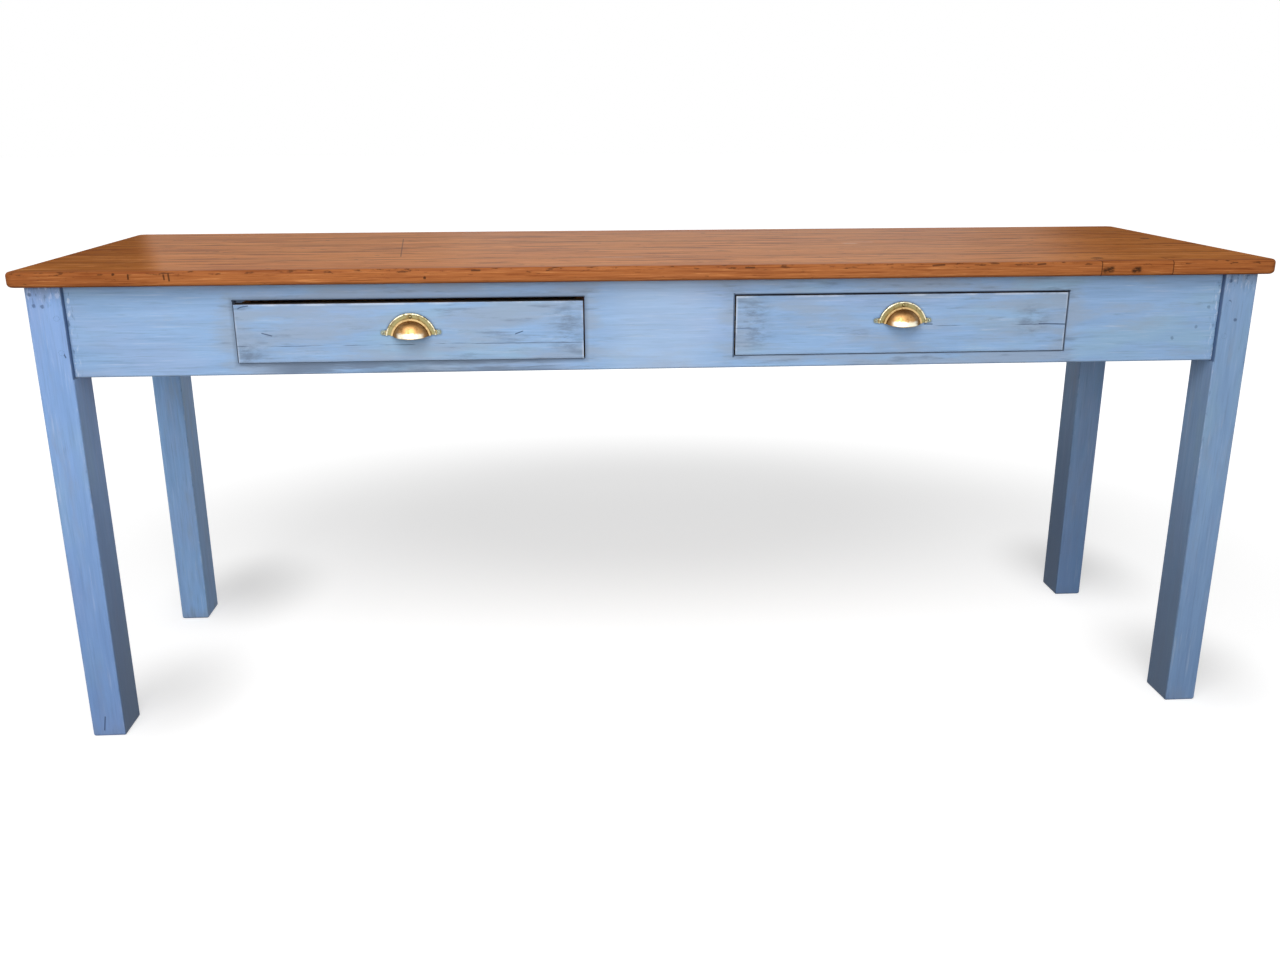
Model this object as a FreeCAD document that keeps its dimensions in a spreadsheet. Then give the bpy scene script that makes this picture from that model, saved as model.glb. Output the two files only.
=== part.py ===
"""Painted pine kitchen table: plank top, four straight legs, pegged aprons, two dovetailed drawers.

The frame is in millimetres with +Z up and the origin on the floor under the middle of the table.
The drawers face -Y. The left drawer rests a little way open.
"""
import FreeCAD, Part
import math
import os
import re
import Sketcher

SIZES = {
    # whole table
    "table_height": 770,
    "frame_length": 1890,
    "frame_depth": 550,
    # plank top
    "top_overhang": 20,
    "top_thick": 23,
    "top_arris_radius": 6,
    "top_corner_radius": 16,
    "tongue_thick": 6,
    "tongue_length": 7,
    "tongue_end_distance": 25,
    "patch_length": 115,
    "patch_depth": 45,
    "patch_end_distance": 169,
    # legs
    "leg_width": 53,
    "leg_depth": 68,
    "leg_arris_radius": 2,
    "foot_radius": 5,
    # aprons and their joints with the legs
    "apron_height": 140,
    "apron_thick": 22,
    "apron_setback": 8,
    "apron_arris_radius": 1.5,
    "tenon_thick": 8,
    "tenon_head_shoulder": 22,
    "tenon_foot_shoulder": 14,
    "mortise_wall": 7,
    "peg_radius": 4,
    "peg_length": 34,
    "peg_inset": 12,
    # panels and rails of the front
    "end_panel_width": 245,
    "centre_panel_width": 233,
    "head_rail_height": 25.5,
    "foot_rail_height": 18.5,
    "stub_length": 12,
    "stub_thick": 8,
    "stub_shoulder": 4,
    # runners, guides, kickers and stops
    "runner_height": 18,
    "runner_reach": 23,
    "runner_stub_width": 9,
    "runner_stub_height": 10,
    "runner_stub_wall": 1.5,
    "guide_width": 13,
    "guide_height": 24,
    "guide_chamfer": 4,
    "kicker_reach": 22,
    "stop_length": 17.5,
    "stop_height": 20,
    # drawer boxes
    "drawer_side_gap": 2,
    "drawer_lift": 0.3,
    "drawer_stop_gap": 0.3,
    "drawer_headroom": 10,
    "drawer_front_thick": 20,
    "drawer_front_foot_gap": 1,
    "drawer_front_arris_radius": 1.2,
    "left_front_head_gap": 5.5,
    "right_front_head_gap": 2.2,
    "left_drawer_ajar": 5,
    "drawer_side_thick": 12,
    "drawer_back_thick": 12,
    "drawer_back_drop": 6,
    "drawer_floor_thick": 7,
    "groove_depth": 5,
    "groove_rise": 9,
    "dovetail_lap": 6,
    # cup pulls
    "left_pull_head_gap": 21.5,
    "right_pull_head_gap": 14,
    "pull_flange_radius": 39,
    "pull_flange_thick": 2,
    "pull_bead_width": 2.8,
    "pull_channel_width": 5.2,
    "pull_step_width": 3,
    "pull_step_height": 4,
    "pull_cup_reach": 24,
    "pull_wall": 1.6,
    "pull_foot_rise": 6,
    "pull_lip_drop": 4,
    "pull_ear_offset": 3.5,
    "pull_ear_radius": 3.5,
    "pull_screw_radius": 1.3,
    "pull_screw_length": 13,
    # small fixings
    "kicker_screw_radius": 2,
    "kicker_screw_head_radius": 4,
    "kicker_screw_head_thick": 2.4,
    "kicker_screw_bite": 12,
    "nail_radius": 0.9,
    "nail_head_radius": 2.2,
    "nail_head_thick": 0.8,
    "nail_length": 24,
    "glue_block_length": 70,
    "glue_block_width": 20,
    # fits and cuts
    "joint_gap": 0.15,
    "cut_overrun": 2,
}

# Lengths worked out from the sizes above.
DERIVED = {
    "frame_height": "table_height - top_thick",
    "apron_foot": "frame_height - apron_height",
    "front_face": "frame_depth / 2 - apron_setback",
    "inner_face": "front_face - apron_thick",
    "leg_inside": "frame_length / 2 - leg_width",
    "end_inner_face": "frame_length / 2 - apron_setback - apron_thick",
    "top_half_length": "frame_length / 2 + top_overhang",
    "top_depth": "frame_depth + 2 * top_overhang",
    "patch_right": "top_half_length - patch_end_distance",
    "patch_left": "patch_right - patch_length",
    "tenon_middle": "apron_setback + apron_thick / 2",
    "tenon_length": "leg_width - tenon_middle - tenon_thick / 2 - mortise_wall",
    "tenon_height": "apron_height - tenon_head_shoulder - tenon_foot_shoulder",
    "opening_inside": "centre_panel_width / 2",
    "opening_outside": "leg_inside - end_panel_width",
    "opening_width": "opening_outside - opening_inside",
    "opening_head": "apron_height - head_rail_height",
    "opening_height": "opening_head - foot_rail_height",
    "bay_centre": "(opening_inside + opening_outside) / 2",
    "runner_head": "apron_foot + foot_rail_height",
    "runner_stub_length": "apron_thick / 2 - stub_thick / 2 - runner_stub_wall",
    "kicker_foot": "apron_foot + opening_head",
    "kicker_middle": "(guide_width - kicker_reach) / 2",
    "drawer_length": "front_face + inner_face - stop_length - drawer_stop_gap",
    "drawer_half_width": "opening_width / 2 - drawer_side_gap",
    "drawer_inside": "drawer_half_width - drawer_side_thick",
    "drawer_side_height": "opening_height - drawer_headroom",
    "drawer_front_foot": "drawer_front_foot_gap - drawer_lift",
    "drawer_front_head": "opening_height - drawer_lift",
    "drawer_floor_head": "groove_rise + drawer_floor_thick",
    "drawer_back_height": "drawer_side_height - drawer_back_drop - drawer_floor_head",
    "drawer_back_face": "drawer_length - drawer_back_thick",
    "left_pull_rise": "opening_height - left_pull_head_gap - pull_flange_radius",
    "right_pull_rise": "opening_height - right_pull_head_gap - pull_flange_radius",
    "pull_cup_radius": "pull_flange_radius - pull_bead_width - pull_channel_width",
    "pull_dome_radius": "pull_cup_radius - pull_step_width",
    "pull_dome_foot": "pull_flange_thick + pull_step_height",
    "pull_ear_middle": "pull_flange_radius + pull_ear_offset",
    "pull_ear_rise": "pull_foot_rise + pull_ear_radius",
    "pull_screw_head_radius": "pull_channel_width / 2 - joint_gap",
    "pull_head_screw_rise": "pull_cup_radius + pull_channel_width / 2",
}

# Each top board's part of the depth of the top, from front to back.
BOARD_SHARES = {"front": 0.205, "second": 0.195, "middle": 0.21, "fourth": 0.19, "back": 0.2}
SCREWED_BOARDS = ("front", "middle", "back")
# Places of the pegs up a tenon, the nails along a drawer's back and the blocks along the table.
PEG_SHARES = (0.25, 0.75)
NAIL_SHARES = (-0.36, -0.12, 0.12, 0.36)
BLOCK_SHARES = (-0.42, 0, 0.42)
# Dovetails: the middle of each up the side, and half its width at its root and its tip.
TAIL_MIDDLE_SHARES = (0.2, 0.51, 0.82)
TAIL_ROOT_SHARE = 0.085
TAIL_TIP_SHARE = 0.12
PIN_MIDDLE_SHARES = (0.28, 0.72)
PIN_ROOT_SHARE = 0.12
PIN_TIP_SHARE = 0.07
# Where two coordinates count as one, as a part of the gap left in a glued joint.
SAME_SHARE = 0.1

PLANES = {"Z": "XY_Plane", "Y": "XZ_Plane", "X": "YZ_Plane"}
HANDS = {"left": -1, "right": 1}
UP = FreeCAD.Vector(0, 0, 1)
RIGHT = FreeCAD.Vector(1, 0, 0)
BACK = FreeCAD.Vector(0, 1, 0)
QUARTER_TURN = 90
HALF_TURN = 180

doc = FreeCAD.newDocument("KitchenTable")
sheet = doc.addObject("Spreadsheet::Sheet", "Dims")
pieces = []


def fill_sheet():
    """Put every size in the sheet under its own alias."""
    for row, (name, number) in enumerate(SIZES.items(), start=1):
        sheet.set(f"A{row}", str(number))
        sheet.setAlias(f"A{row}", name)
    doc.recompute()


def formula(text):
    """The text with each size's name pointed at its cell and each derived name written out."""
    def place(match):
        word = match.group()
        if word in DERIVED:
            return f"({formula(DERIVED[word])})"
        return f"Dims.{word}"
    return re.sub(r"[a-z]\w+", place, str(text))


def bind(thing, name, text):
    """Bind one property of a document object to a formula of sizes."""
    thing.setExpression(name, formula(text))


def value(text):
    """The present number of a formula, for finding edges and for a sketch's first guess."""
    return float(sheet.evalExpression(formula(text)))


def guess(spot):
    """The present place of a point of a sketch, given as two formulas."""
    return FreeCAD.Vector(value(spot[0]), value(spot[1]))


def same(first, second):
    """Whether two coordinates count as one."""
    return abs(first - second) < value("joint_gap") * SAME_SHARE


def put(thing, spot, turn=0, axis=UP):
    """Turn an object about an axis through its own origin and bind its place."""
    thing.Placement = FreeCAD.Placement(FreeCAD.Vector(), FreeCAD.Rotation(axis, turn))
    for letter, text in zip("xyz", spot):
        bind(thing, f"Placement.Base.{letter}", text)


def new_body(label):
    """An empty body that becomes one sub-part."""
    body = doc.addObject("PartDesign::Body", label)
    body.Label = label
    pieces.append(body)
    return body


def sketch_on(body, along, level):
    """An empty sketch square to one axis of the body, at a level along that axis."""
    sketch = body.newObject("Sketcher::SketchObject", "Outline")
    plane = next(item for item in body.Origin.OriginFeatures if item.Role == PLANES[along])
    sketch.AttachmentSupport = (plane, [""])
    sketch.MapMode = "FlatFace"
    bind(sketch, "AttachmentOffset.Base.z", f"-({level})" if along == "Y" else level)
    return sketch


def hold(sketch, geometry, point, spot):
    """Bind one point of a sketch to its two distances from the origin."""
    for kind, text in zip(("DistanceX", "DistanceY"), spot):
        index = sketch.addConstraint(Sketcher.Constraint(kind, -1, 1, geometry, point, value(text)))
        bind(sketch, f"Constraints[{index}]", text)


def join(sketch, first, second):
    """Make two points of a sketch, each a geometry and a point number, one."""
    sketch.addConstraint(Sketcher.Constraint("Coincident", *first, *second))


def loop(sketch, points):
    """A closed run of straight lines through the points."""
    first = sketch.GeometryCount
    corners = [guess(spot) for spot in points]
    for start, end in zip(corners, corners[1:] + corners[:1]):
        sketch.addGeometry(Part.LineSegment(start, end))
    for index, spot in enumerate(points):
        join(sketch, (first + index, 2), (first + (index + 1) % len(points), 1))
        hold(sketch, first + index, 1, spot)


def extrude(body, sketch, along, length, kind):
    """A Pad or Pocket of the sketch towards the positive end of its axis."""
    feature = body.newObject(f"PartDesign::{kind}", kind)
    feature.Profile = sketch
    bind(feature, "Length", length)
    feature.Reversed = (along == "Y") == (kind == "Pad")


def prism(body, along, level, length, loops, kind="Pad"):
    """Straight-sided outlines drawn square to an axis and carried along it."""
    sketch = sketch_on(body, along, level)
    for points in loops:
        loop(sketch, points)
    extrude(body, sketch, along, length, kind)


def rounds(body, along, level, length, spots, radius, kind="Pocket"):
    """Round holes or bosses of one radius, carried towards the positive end of an axis."""
    sketch = sketch_on(body, along, level)
    for spot in spots:
        index = sketch.addGeometry(Part.Circle(guess(spot), UP, value(radius)))
        hold(sketch, index, 3, spot)
        bound = sketch.addConstraint(Sketcher.Constraint("Radius", index, value(radius)))
        bind(sketch, f"Constraints[{bound}]", radius)
    extrude(body, sketch, along, length, kind)


def rectangle(start, end):
    """The four corners between two opposite corners."""
    return [start, (end[0], start[1]), end, (start[0], end[1])]


def block(body, low, high, kind="Pad"):
    """A box between two opposite corners, added to the body or cut out of it."""
    prism(body, "Z", low[2], f"({high[2]}) - ({low[2]})", [rectangle(low[:2], high[:2])], kind)


def soften(body, size, wanted, kind="Fillet"):
    """Fillet or chamfer the straight edges of the body that the test picks by their two ends."""
    doc.recompute()
    base = body.Tip
    names = []
    for index, edge in enumerate(base.Shape.Edges, start=1):
        straight = edge.Curve.TypeId == "Part::GeomLine"
        if straight and wanted(*[vertex.Point for vertex in edge.Vertexes]):
            names.append(f"Edge{index}")
    feature = body.newObject(f"PartDesign::{kind}", kind)
    feature.Base = (base, names)
    bind(feature, "Radius" if kind == "Fillet" else "Size", size)


def mirrored(hand, near, far):
    """The low and high ends of a stretch on the right half, or of its mirror image on the left."""
    return (near, far) if hand > 0 else (f"-({far})", f"-({near})")


def bar(kind, spot, turn=0, axis=UP, **sizes):
    """A loose Part primitive with its sizes and place bound."""
    solid = doc.addObject(f"Part::{kind}", kind)
    for name, text in sizes.items():
        bind(solid, name, text)
    put(solid, spot, turn, axis)
    return solid


def fused(first, second):
    """Two touching solids as one."""
    whole = doc.addObject("Part::Fuse", "Joined")
    whole.Base = first
    whole.Tool = second
    return whole


def group(label, solids):
    """Several loose solids kept together as one sub-part."""
    whole = doc.addObject("Part::Compound", label)
    whole.Label = label
    whole.Links = solids
    pieces.append(whole)


def board_stretch(name):
    """Where a top board starts and ends along Y."""
    order = list(BOARD_SHARES)
    before = sum(BOARD_SHARES[other] for other in order[:order.index(name)])
    return (f"top_depth * {before - 1 / 2}", f"top_depth * {before + BOARD_SHARES[name] - 1 / 2}")


def board_middle(name):
    """The middle of a top board along Y."""
    low, high = board_stretch(name)
    return f"({low} + {high}) / 2"


def kicker_screw_spots():
    """Where the screws go up through the kickers into the top, as x and y."""
    for hand in HANDS.values():
        for side in HANDS.values():
            middle = f"{hand} * bay_centre + {side} * (opening_width / 2 + kicker_middle)"
            for name in SCREWED_BOARDS:
                yield middle, board_middle(name)


def tongue(body, edge, slack, kind):
    """A stopped tongue that runs along a board's edge, or the groove that takes the next one's."""
    end = f"top_half_length - tongue_end_distance + {slack}"
    half = f"(tongue_thick / 2 + {slack})"
    middle = "frame_height + top_thick / 2"
    low = (f"-({end})", edge, f"{middle} - {half}")
    high = (end, f"{edge} + tongue_length + {slack}", f"{middle} + {half}")
    block(body, low, high, kind)


def top_board(name):
    """One lengthwise board of the top, rounded where it is part of the outer edge."""
    body = new_body(f"top_board_{name}")
    low, high = board_stretch(name)
    order = list(BOARD_SHARES)
    outer = {order[0]: value(low), order[-1]: value(high)}.get(name)
    end = value("top_half_length")
    block(body, ("-top_half_length", low, "frame_height"), ("top_half_length", high, "table_height"))

    def on_outer_edge(a, b):
        return outer is not None and same(a.y, outer) and same(b.y, outer)

    def on_end(a, b):
        return same(abs(a.x), end) and same(a.x, b.x)

    if outer is not None:
        soften(body, "top_corner_radius", lambda a, b: on_outer_edge(a, b) and on_end(a, b))
    soften(body, "top_arris_radius",
           lambda a, b: same(a.z, b.z) and (on_outer_edge(a, b) or on_end(a, b)))
    if name == order[0]:
        block(body, ("patch_left", f"{low} - cut_overrun", "frame_height - cut_overrun"),
              ("patch_right", f"{low} + patch_depth", "table_height + cut_overrun"), "Pocket")
    else:
        tongue(body, low, "joint_gap", "Pocket")
    if name != order[-1]:
        tongue(body, high, "0", "Pad")
    if name in SCREWED_BOARDS:
        spots = [spot for spot in kicker_screw_spots() if spot[1] == board_middle(name)]
        rounds(body, "Z", "frame_height - cut_overrun", "cut_overrun + kicker_screw_bite + joint_gap",
               spots, "kicker_screw_radius + joint_gap")


def top_edge_patch():
    """The repair let into the front edge of the top, rounded as the edge beside it is."""
    body = new_body("top_edge_patch")
    front = "-top_depth / 2"
    block(body, ("patch_left + joint_gap", front, "frame_height"),
          ("patch_right - joint_gap", f"{front} + patch_depth", "table_height"))
    edge = value(front)
    soften(body, "top_arris_radius",
           lambda a, b: same(a.y, edge) and same(b.y, edge) and same(a.z, b.z))


def peg_rises():
    """Heights of the pegs above the foot of the apron."""
    return [f"tenon_foot_shoulder + tenon_height * {share}" for share in PEG_SHARES]


def leg(label, spot, turn, across, deep):
    """A straight leg with two blind mortises and the bores for the pegs that lock them."""
    body = new_body(label)
    block(body, ("0", "0", "0"), (across, deep, "frame_height"))
    soften(body, "foot_radius", lambda a, b: same(a.z, 0) and same(b.z, 0))
    top = value("frame_height")
    soften(body, "leg_arris_radius", lambda a, b: same(max(a.z, b.z), top) and not same(a.z, b.z))
    near = "tenon_middle - tenon_thick / 2 - joint_gap"
    far = "tenon_middle + tenon_thick / 2 + joint_gap"
    foot = "apron_foot + tenon_foot_shoulder - joint_gap"
    head = "frame_height - tenon_head_shoulder + joint_gap"
    block(body, (f"{across} - tenon_length - joint_gap", near, foot),
          (f"{across} + cut_overrun", far, head), "Pocket")
    block(body, (near, f"{deep} - tenon_length - joint_gap", foot),
          (far, f"{deep} + cut_overrun", head), "Pocket")
    for along, size in (("Y", across), ("X", deep)):
        bores = [(f"{size} - peg_inset", f"apron_foot + {rise}") for rise in peg_rises()]
        rounds(body, along, "-cut_overrun", "cut_overrun + peg_length + joint_gap", bores,
               "peg_radius + joint_gap")
    put(body, spot, turn)


def legs():
    """A leg at each corner, a quarter turn on from one to the next, all deeper than they are wide."""
    corners = {
        "leg_front_left": (-1, -1),
        "leg_front_right": (1, -1),
        "leg_back_right": (1, 1),
        "leg_back_left": (-1, 1),
    }
    sides = ("leg_width", "leg_depth")
    for index, (label, (across, deep)) in enumerate(corners.items()):
        spot = (f"{across} * frame_length / 2", f"{deep} * frame_depth / 2", "0")
        leg(label, spot, index * QUARTER_TURN, *sides)
        sides = sides[::-1]


def joint_pegs():
    """The pegs through every tenon, flush with the outer faces of the legs."""
    solids = []
    sizes = {"Radius": "peg_radius", "Height": "peg_length"}
    for across in HANDS.values():
        for deep in HANDS.values():
            for rise in peg_rises():
                height = f"apron_foot + {rise}"
                face_spot = (f"{across} * (leg_inside + peg_inset)", f"{deep} * frame_depth / 2", height)
                end_spot = (f"{across} * frame_length / 2",
                            f"{deep} * (frame_depth / 2 - leg_depth + peg_inset)", height)
                solids.append(bar("Cylinder", face_spot, deep * QUARTER_TURN, RIGHT, **sizes))
                solids.append(bar("Cylinder", end_spot, -across * QUARTER_TURN, BACK, **sizes))
    group("joint_pegs", solids)


def tenon(body, low, high):
    """A blind tenon on the end of an apron between two places along it."""
    block(body, (low, "apron_thick / 2 - tenon_thick / 2", "tenon_foot_shoulder"),
          (high, "apron_thick / 2 + tenon_thick / 2", "apron_height - tenon_head_shoulder"))


def bore_tenons(body, spots):
    """Peg holes through a piece's tenons, at places along it."""
    bores = [(spot, rise) for spot in spots for rise in peg_rises()]
    rounds(body, "Y", "-cut_overrun", "apron_thick + 2 * cut_overrun", bores, "peg_radius + joint_gap")


def ease_foot(body):
    """Soften the two long lower arrises of an apron piece."""
    soften(body, "apron_arris_radius",
           lambda a, b: same(a.z, 0) and same(b.z, 0) and same(a.y, b.y))


def apron(label, span, spot, turn):
    """A plain apron with a tenon at each end, drawn along X about its middle."""
    body = new_body(label)
    half = f"({span}) / 2"
    block(body, (f"-{half}", "0", "0"), (half, "apron_thick", "apron_height"))
    ease_foot(body)
    tenon(body, half, f"{half} + tenon_length")
    tenon(body, f"-{half} - tenon_length", f"-{half}")
    bore_tenons(body, [f"{half} + peg_inset", f"-{half} - peg_inset"])
    put(body, spot, turn)
    return body


def runner_sockets(body, low, high, middles):
    """Blind sockets for the runners' stubs, between two levels along Y."""
    foot = "foot_rail_height - runner_height / 2 - runner_stub_height / 2 - joint_gap"
    head = "foot_rail_height - runner_height / 2 + runner_stub_height / 2 + joint_gap"
    half = "runner_stub_width / 2 + joint_gap"
    for middle in middles:
        block(body, (f"{middle} - ({half})", low, foot), (f"{middle} + {half}", high, head), "Pocket")


def aprons():
    """The back and end aprons. The back one also carries the runners' back ends."""
    back = apron("apron_back", "2 * leg_inside", ("0", "inner_face", "apron_foot"), 0)
    edges = ("opening_inside - guide_width / 2", "opening_outside + guide_width / 2")
    middles = [f"{hand} * ({edge})" for hand in HANDS.values() for edge in edges]
    runner_sockets(back, "-cut_overrun", "runner_stub_length + joint_gap", middles)
    for name, hand in HANDS.items():
        spot = (f"{hand} * end_inner_face", "0", "apron_foot")
        apron(f"apron_{name}", "frame_depth - 2 * leg_depth", spot, -hand * QUARTER_TURN)


def front_spot():
    """The place of the front's pieces, drawn from the front face and the foot of the aprons."""
    return ("0", "-front_face", "apron_foot")


def rail_sockets(body, low, high):
    """The two mortises in a front panel's edge that take the rails' stubs."""
    near = "apron_thick / 2 - stub_thick / 2 - joint_gap"
    far = "apron_thick / 2 + stub_thick / 2 + joint_gap"
    for foot, head in (("0", "foot_rail_height"), ("opening_head", "apron_height")):
        block(body, (low, near, f"{foot} + stub_shoulder - joint_gap"),
              (high, far, f"{head} - stub_shoulder + joint_gap"), "Pocket")


def front_runner_sockets(body, middles):
    """Sockets for the runners' front ends in the back of a front panel."""
    runner_sockets(body, "apron_thick - runner_stub_length - joint_gap", "apron_thick + cut_overrun",
                   middles)


def end_panel(name, hand):
    """The front between a leg and a drawer, tenoned into the leg and mortised for the rails."""
    body = new_body(f"front_panel_{name}")
    low, high = mirrored(hand, "opening_outside", "leg_inside")
    block(body, (low, "0", "0"), (high, "apron_thick", "apron_height"))
    ease_foot(body)
    tenon(body, *mirrored(hand, "leg_inside", "leg_inside + tenon_length"))
    bore_tenons(body, [f"{hand} * (leg_inside + peg_inset)"])
    reach = ("opening_outside - cut_overrun", "opening_outside + stub_length + joint_gap")
    rail_sockets(body, *mirrored(hand, *reach))
    front_runner_sockets(body, [f"{hand} * (opening_outside + guide_width / 2)"])
    put(body, front_spot())


def centre_panel():
    """The front between the two drawers, mortised for all four rails."""
    body = new_body("front_panel_centre")
    block(body, ("-opening_inside", "0", "0"), ("opening_inside", "apron_thick", "apron_height"))
    ease_foot(body)
    for hand in HANDS.values():
        reach = ("opening_inside - stub_length - joint_gap", "opening_inside + cut_overrun")
        rail_sockets(body, *mirrored(hand, *reach))
        front_runner_sockets(body, [f"{hand} * (opening_inside - guide_width / 2)"])
    put(body, front_spot())


def front_rail(label, hand, foot, head):
    """A thin rail above or below a drawer, with a stub tenon at each end."""
    body = new_body(label)
    low, high = mirrored(hand, "opening_inside", "opening_outside")
    block(body, (low, "0", foot), (high, "apron_thick", head))
    if foot == "0":
        ease_foot(body)
    near = "apron_thick / 2 - stub_thick / 2"
    far = "apron_thick / 2 + stub_thick / 2"
    for start, end in ((f"{low} - stub_length", low), (high, f"{high} + stub_length")):
        block(body, (start, near, f"{foot} + stub_shoulder"), (end, far, f"{head} - stub_shoulder"))
    put(body, front_spot())


def front():
    """Everything in the plane of the front apart from the drawers."""
    centre_panel()
    for name, hand in HANDS.items():
        end_panel(name, hand)
        front_rail(f"rail_above_{name}_drawer", hand, "opening_head", "apron_height")
        front_rail(f"rail_below_{name}_drawer", hand, "0", "foot_rail_height")


def runner(label, spot, turn):
    """A bearer under one side of a drawer, stubbed into the front and the back apron."""
    body = new_body(label)
    block(body, ("-runner_reach", "-inner_face", "-runner_height"), ("guide_width", "inner_face", "0"))
    low_x = "guide_width / 2 - runner_stub_width / 2"
    high_x = "guide_width / 2 + runner_stub_width / 2"
    foot = "-runner_height / 2 - runner_stub_height / 2"
    head = "-runner_height / 2 + runner_stub_height / 2"
    for low, high in (("-inner_face - runner_stub_length", "-inner_face"),
                      ("inner_face", "inner_face + runner_stub_length")):
        block(body, (low_x, low, foot), (high_x, high, head))
    put(body, spot, turn)


def guide(label, spot, turn):
    """A fillet on the runner that keeps the drawer straight, eased along its upper inner arris."""
    body = new_body(label)
    block(body, ("0", "-inner_face", "0"), ("guide_width", "inner_face", "guide_height"))
    head = value("guide_height")
    soften(body, "guide_chamfer",
           lambda a, b: same(a.x, 0) and same(b.x, 0) and same(a.z, head) and same(b.z, head), "Chamfer")
    put(body, spot, turn)


def kicker(label, spot, turn, side):
    """A batten above one side of a drawer, bored for the screws that hold the top down."""
    body = new_body(label)
    block(body, ("-kicker_reach", "-inner_face", "0"), ("guide_width", "inner_face", "head_rail_height"))
    bores = [("kicker_middle", f"{side} * {board_middle(name)}") for name in SCREWED_BOARDS]
    rounds(body, "Z", "-cut_overrun", "head_rail_height + 2 * cut_overrun", bores,
           "kicker_screw_radius + joint_gap")
    put(body, spot, turn)


def drawer_bay(name, hand):
    """The runners, guides, kickers and stops that carry one drawer."""
    stops = []
    for side_name, side in HANDS.items():
        edge = f"{hand} * bay_centre + {side} * opening_width / 2"
        turn = 0 if side > 0 else HALF_TURN
        ending = f"{name}_drawer_{side_name}"
        runner(f"runner_{ending}", (edge, "0", "runner_head"), turn)
        guide(f"guide_{ending}", (edge, "0", "runner_head"), turn)
        kicker(f"kicker_{ending}", (edge, "0", "kicker_foot"), turn, side)
        low, _ = mirrored(side, "drawer_inside", "drawer_half_width")
        spot = (f"{hand} * bay_centre + {low}", "inner_face - stop_length", "runner_head")
        stops.append(bar("Box", spot, Length="drawer_side_thick", Width="stop_length",
                         Height="stop_height"))
    group(f"stops_{name}_drawer", stops)


def kicker_screws():
    """Round-headed screws from under the kickers into the top."""
    solids = []
    for x, y in kicker_screw_spots():
        head = bar("Cylinder", (x, y, "kicker_foot - kicker_screw_head_thick"),
                   Radius="kicker_screw_head_radius", Height="kicker_screw_head_thick")
        shank = bar("Cylinder", (x, y, "kicker_foot"), Radius="kicker_screw_radius",
                    Height="head_rail_height + kicker_screw_bite")
        solids.append(fused(head, shank))
    group("kicker_screws", solids)


def glue_blocks():
    """Blocks rubbed into the corner between the aprons and the top."""
    foot = "frame_height - glue_block_width"
    along = {"Length": "glue_block_length", "Width": "glue_block_width", "Height": "glue_block_width"}
    solids = []
    for share in BLOCK_SHARES:
        left = f"frame_length * {share} - glue_block_length / 2"
        solids.append(bar("Box", (left, "-inner_face", foot), **along))
        solids.append(bar("Box", (left, "inner_face - glue_block_width", foot), **along))
    for hand in HANDS.values():
        low, _ = mirrored(hand, "end_inner_face - glue_block_width", "end_inner_face")
        solids.append(bar("Box", (low, "-glue_block_length / 2", foot), Length="glue_block_width",
                          Width="glue_block_length", Height="glue_block_width"))
    group("glue_blocks", solids)


def drawer_spot(name, hand):
    """The place of a drawer, drawn from the middle of its front face at the foot of its sides."""
    ajar = " - left_drawer_ajar" if name == "left" else ""
    return (f"{hand} * bay_centre", f"-front_face{ajar}", "runner_head + drawer_lift")


def wedges(middles, height, root, tip, slack):
    """Dovetail outlines in the plane of a drawer's side, each as near and far place and half widths."""
    for middle in middles:
        at = f"({middle})"
        wide_root = f"({height} * {root[1]} + {slack})"
        wide_tip = f"({height} * {tip[1]} + {slack})"
        yield [(root[0], f"{at} - {wide_root}"), (root[0], f"{at} + {wide_root}"),
               (tip[0], f"{at} + {wide_tip}"), (tip[0], f"{at} - {wide_tip}")]


def tails(slack):
    """The tails of a drawer's side, or with slack the sockets for them in its front."""
    middles = [f"drawer_side_height * {share}" for share in TAIL_MIDDLE_SHARES]
    root = ("drawer_front_thick", TAIL_ROOT_SHARE)
    tip = (f"dovetail_lap - {slack}", TAIL_TIP_SHARE)
    return list(wedges(middles, "drawer_side_height", root, tip, slack))


def pins(slack):
    """The pins of a drawer's back, or with slack the sockets for them in its sides."""
    middles = [f"drawer_floor_head + drawer_back_height * {share}" for share in PIN_MIDDLE_SHARES]
    root = ("drawer_back_face", PIN_ROOT_SHARE)
    tip = ("drawer_length", PIN_TIP_SHARE)
    return list(wedges(middles, "drawer_back_height", root, tip, slack))


def pull_screw_spots():
    """Where a pull is screwed on, as x and height from the middle of its arcs."""
    return [("-pull_ear_middle", "pull_ear_rise"), ("pull_ear_middle", "pull_ear_rise"),
            ("0", "pull_head_screw_rise")]


def drawer_front(name, spot):
    """A drawer's front: blind dovetail sockets, a groove for the floor, and bores for the pull."""
    body = new_body(f"{name}_drawer_front")
    head = f"drawer_front_head - {name}_front_head_gap"
    block(body, ("-drawer_half_width", "0", "drawer_front_foot"),
          ("drawer_half_width", "drawer_front_thick", head))
    soften(body, "drawer_front_arris_radius", lambda a, b: same(a.y, 0) and same(b.y, 0))
    for hand in HANDS.values():
        low, _ = mirrored(hand, "drawer_inside", "drawer_half_width + cut_overrun")
        prism(body, "X", low, "drawer_side_thick + cut_overrun", tails("joint_gap"), "Pocket")
    reach = "drawer_inside + groove_depth"
    block(body, (f"-({reach})", "drawer_front_thick - groove_depth", "groove_rise"),
          (reach, "drawer_front_thick + cut_overrun", "drawer_floor_head + joint_gap"), "Pocket")
    bores = [(x, f"{name}_pull_rise + {rise}") for x, rise in pull_screw_spots()]
    rounds(body, "Y", "-cut_overrun", "cut_overrun + pull_screw_length - pull_flange_thick + joint_gap",
           bores, "pull_screw_radius + joint_gap")
    put(body, spot)


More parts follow.
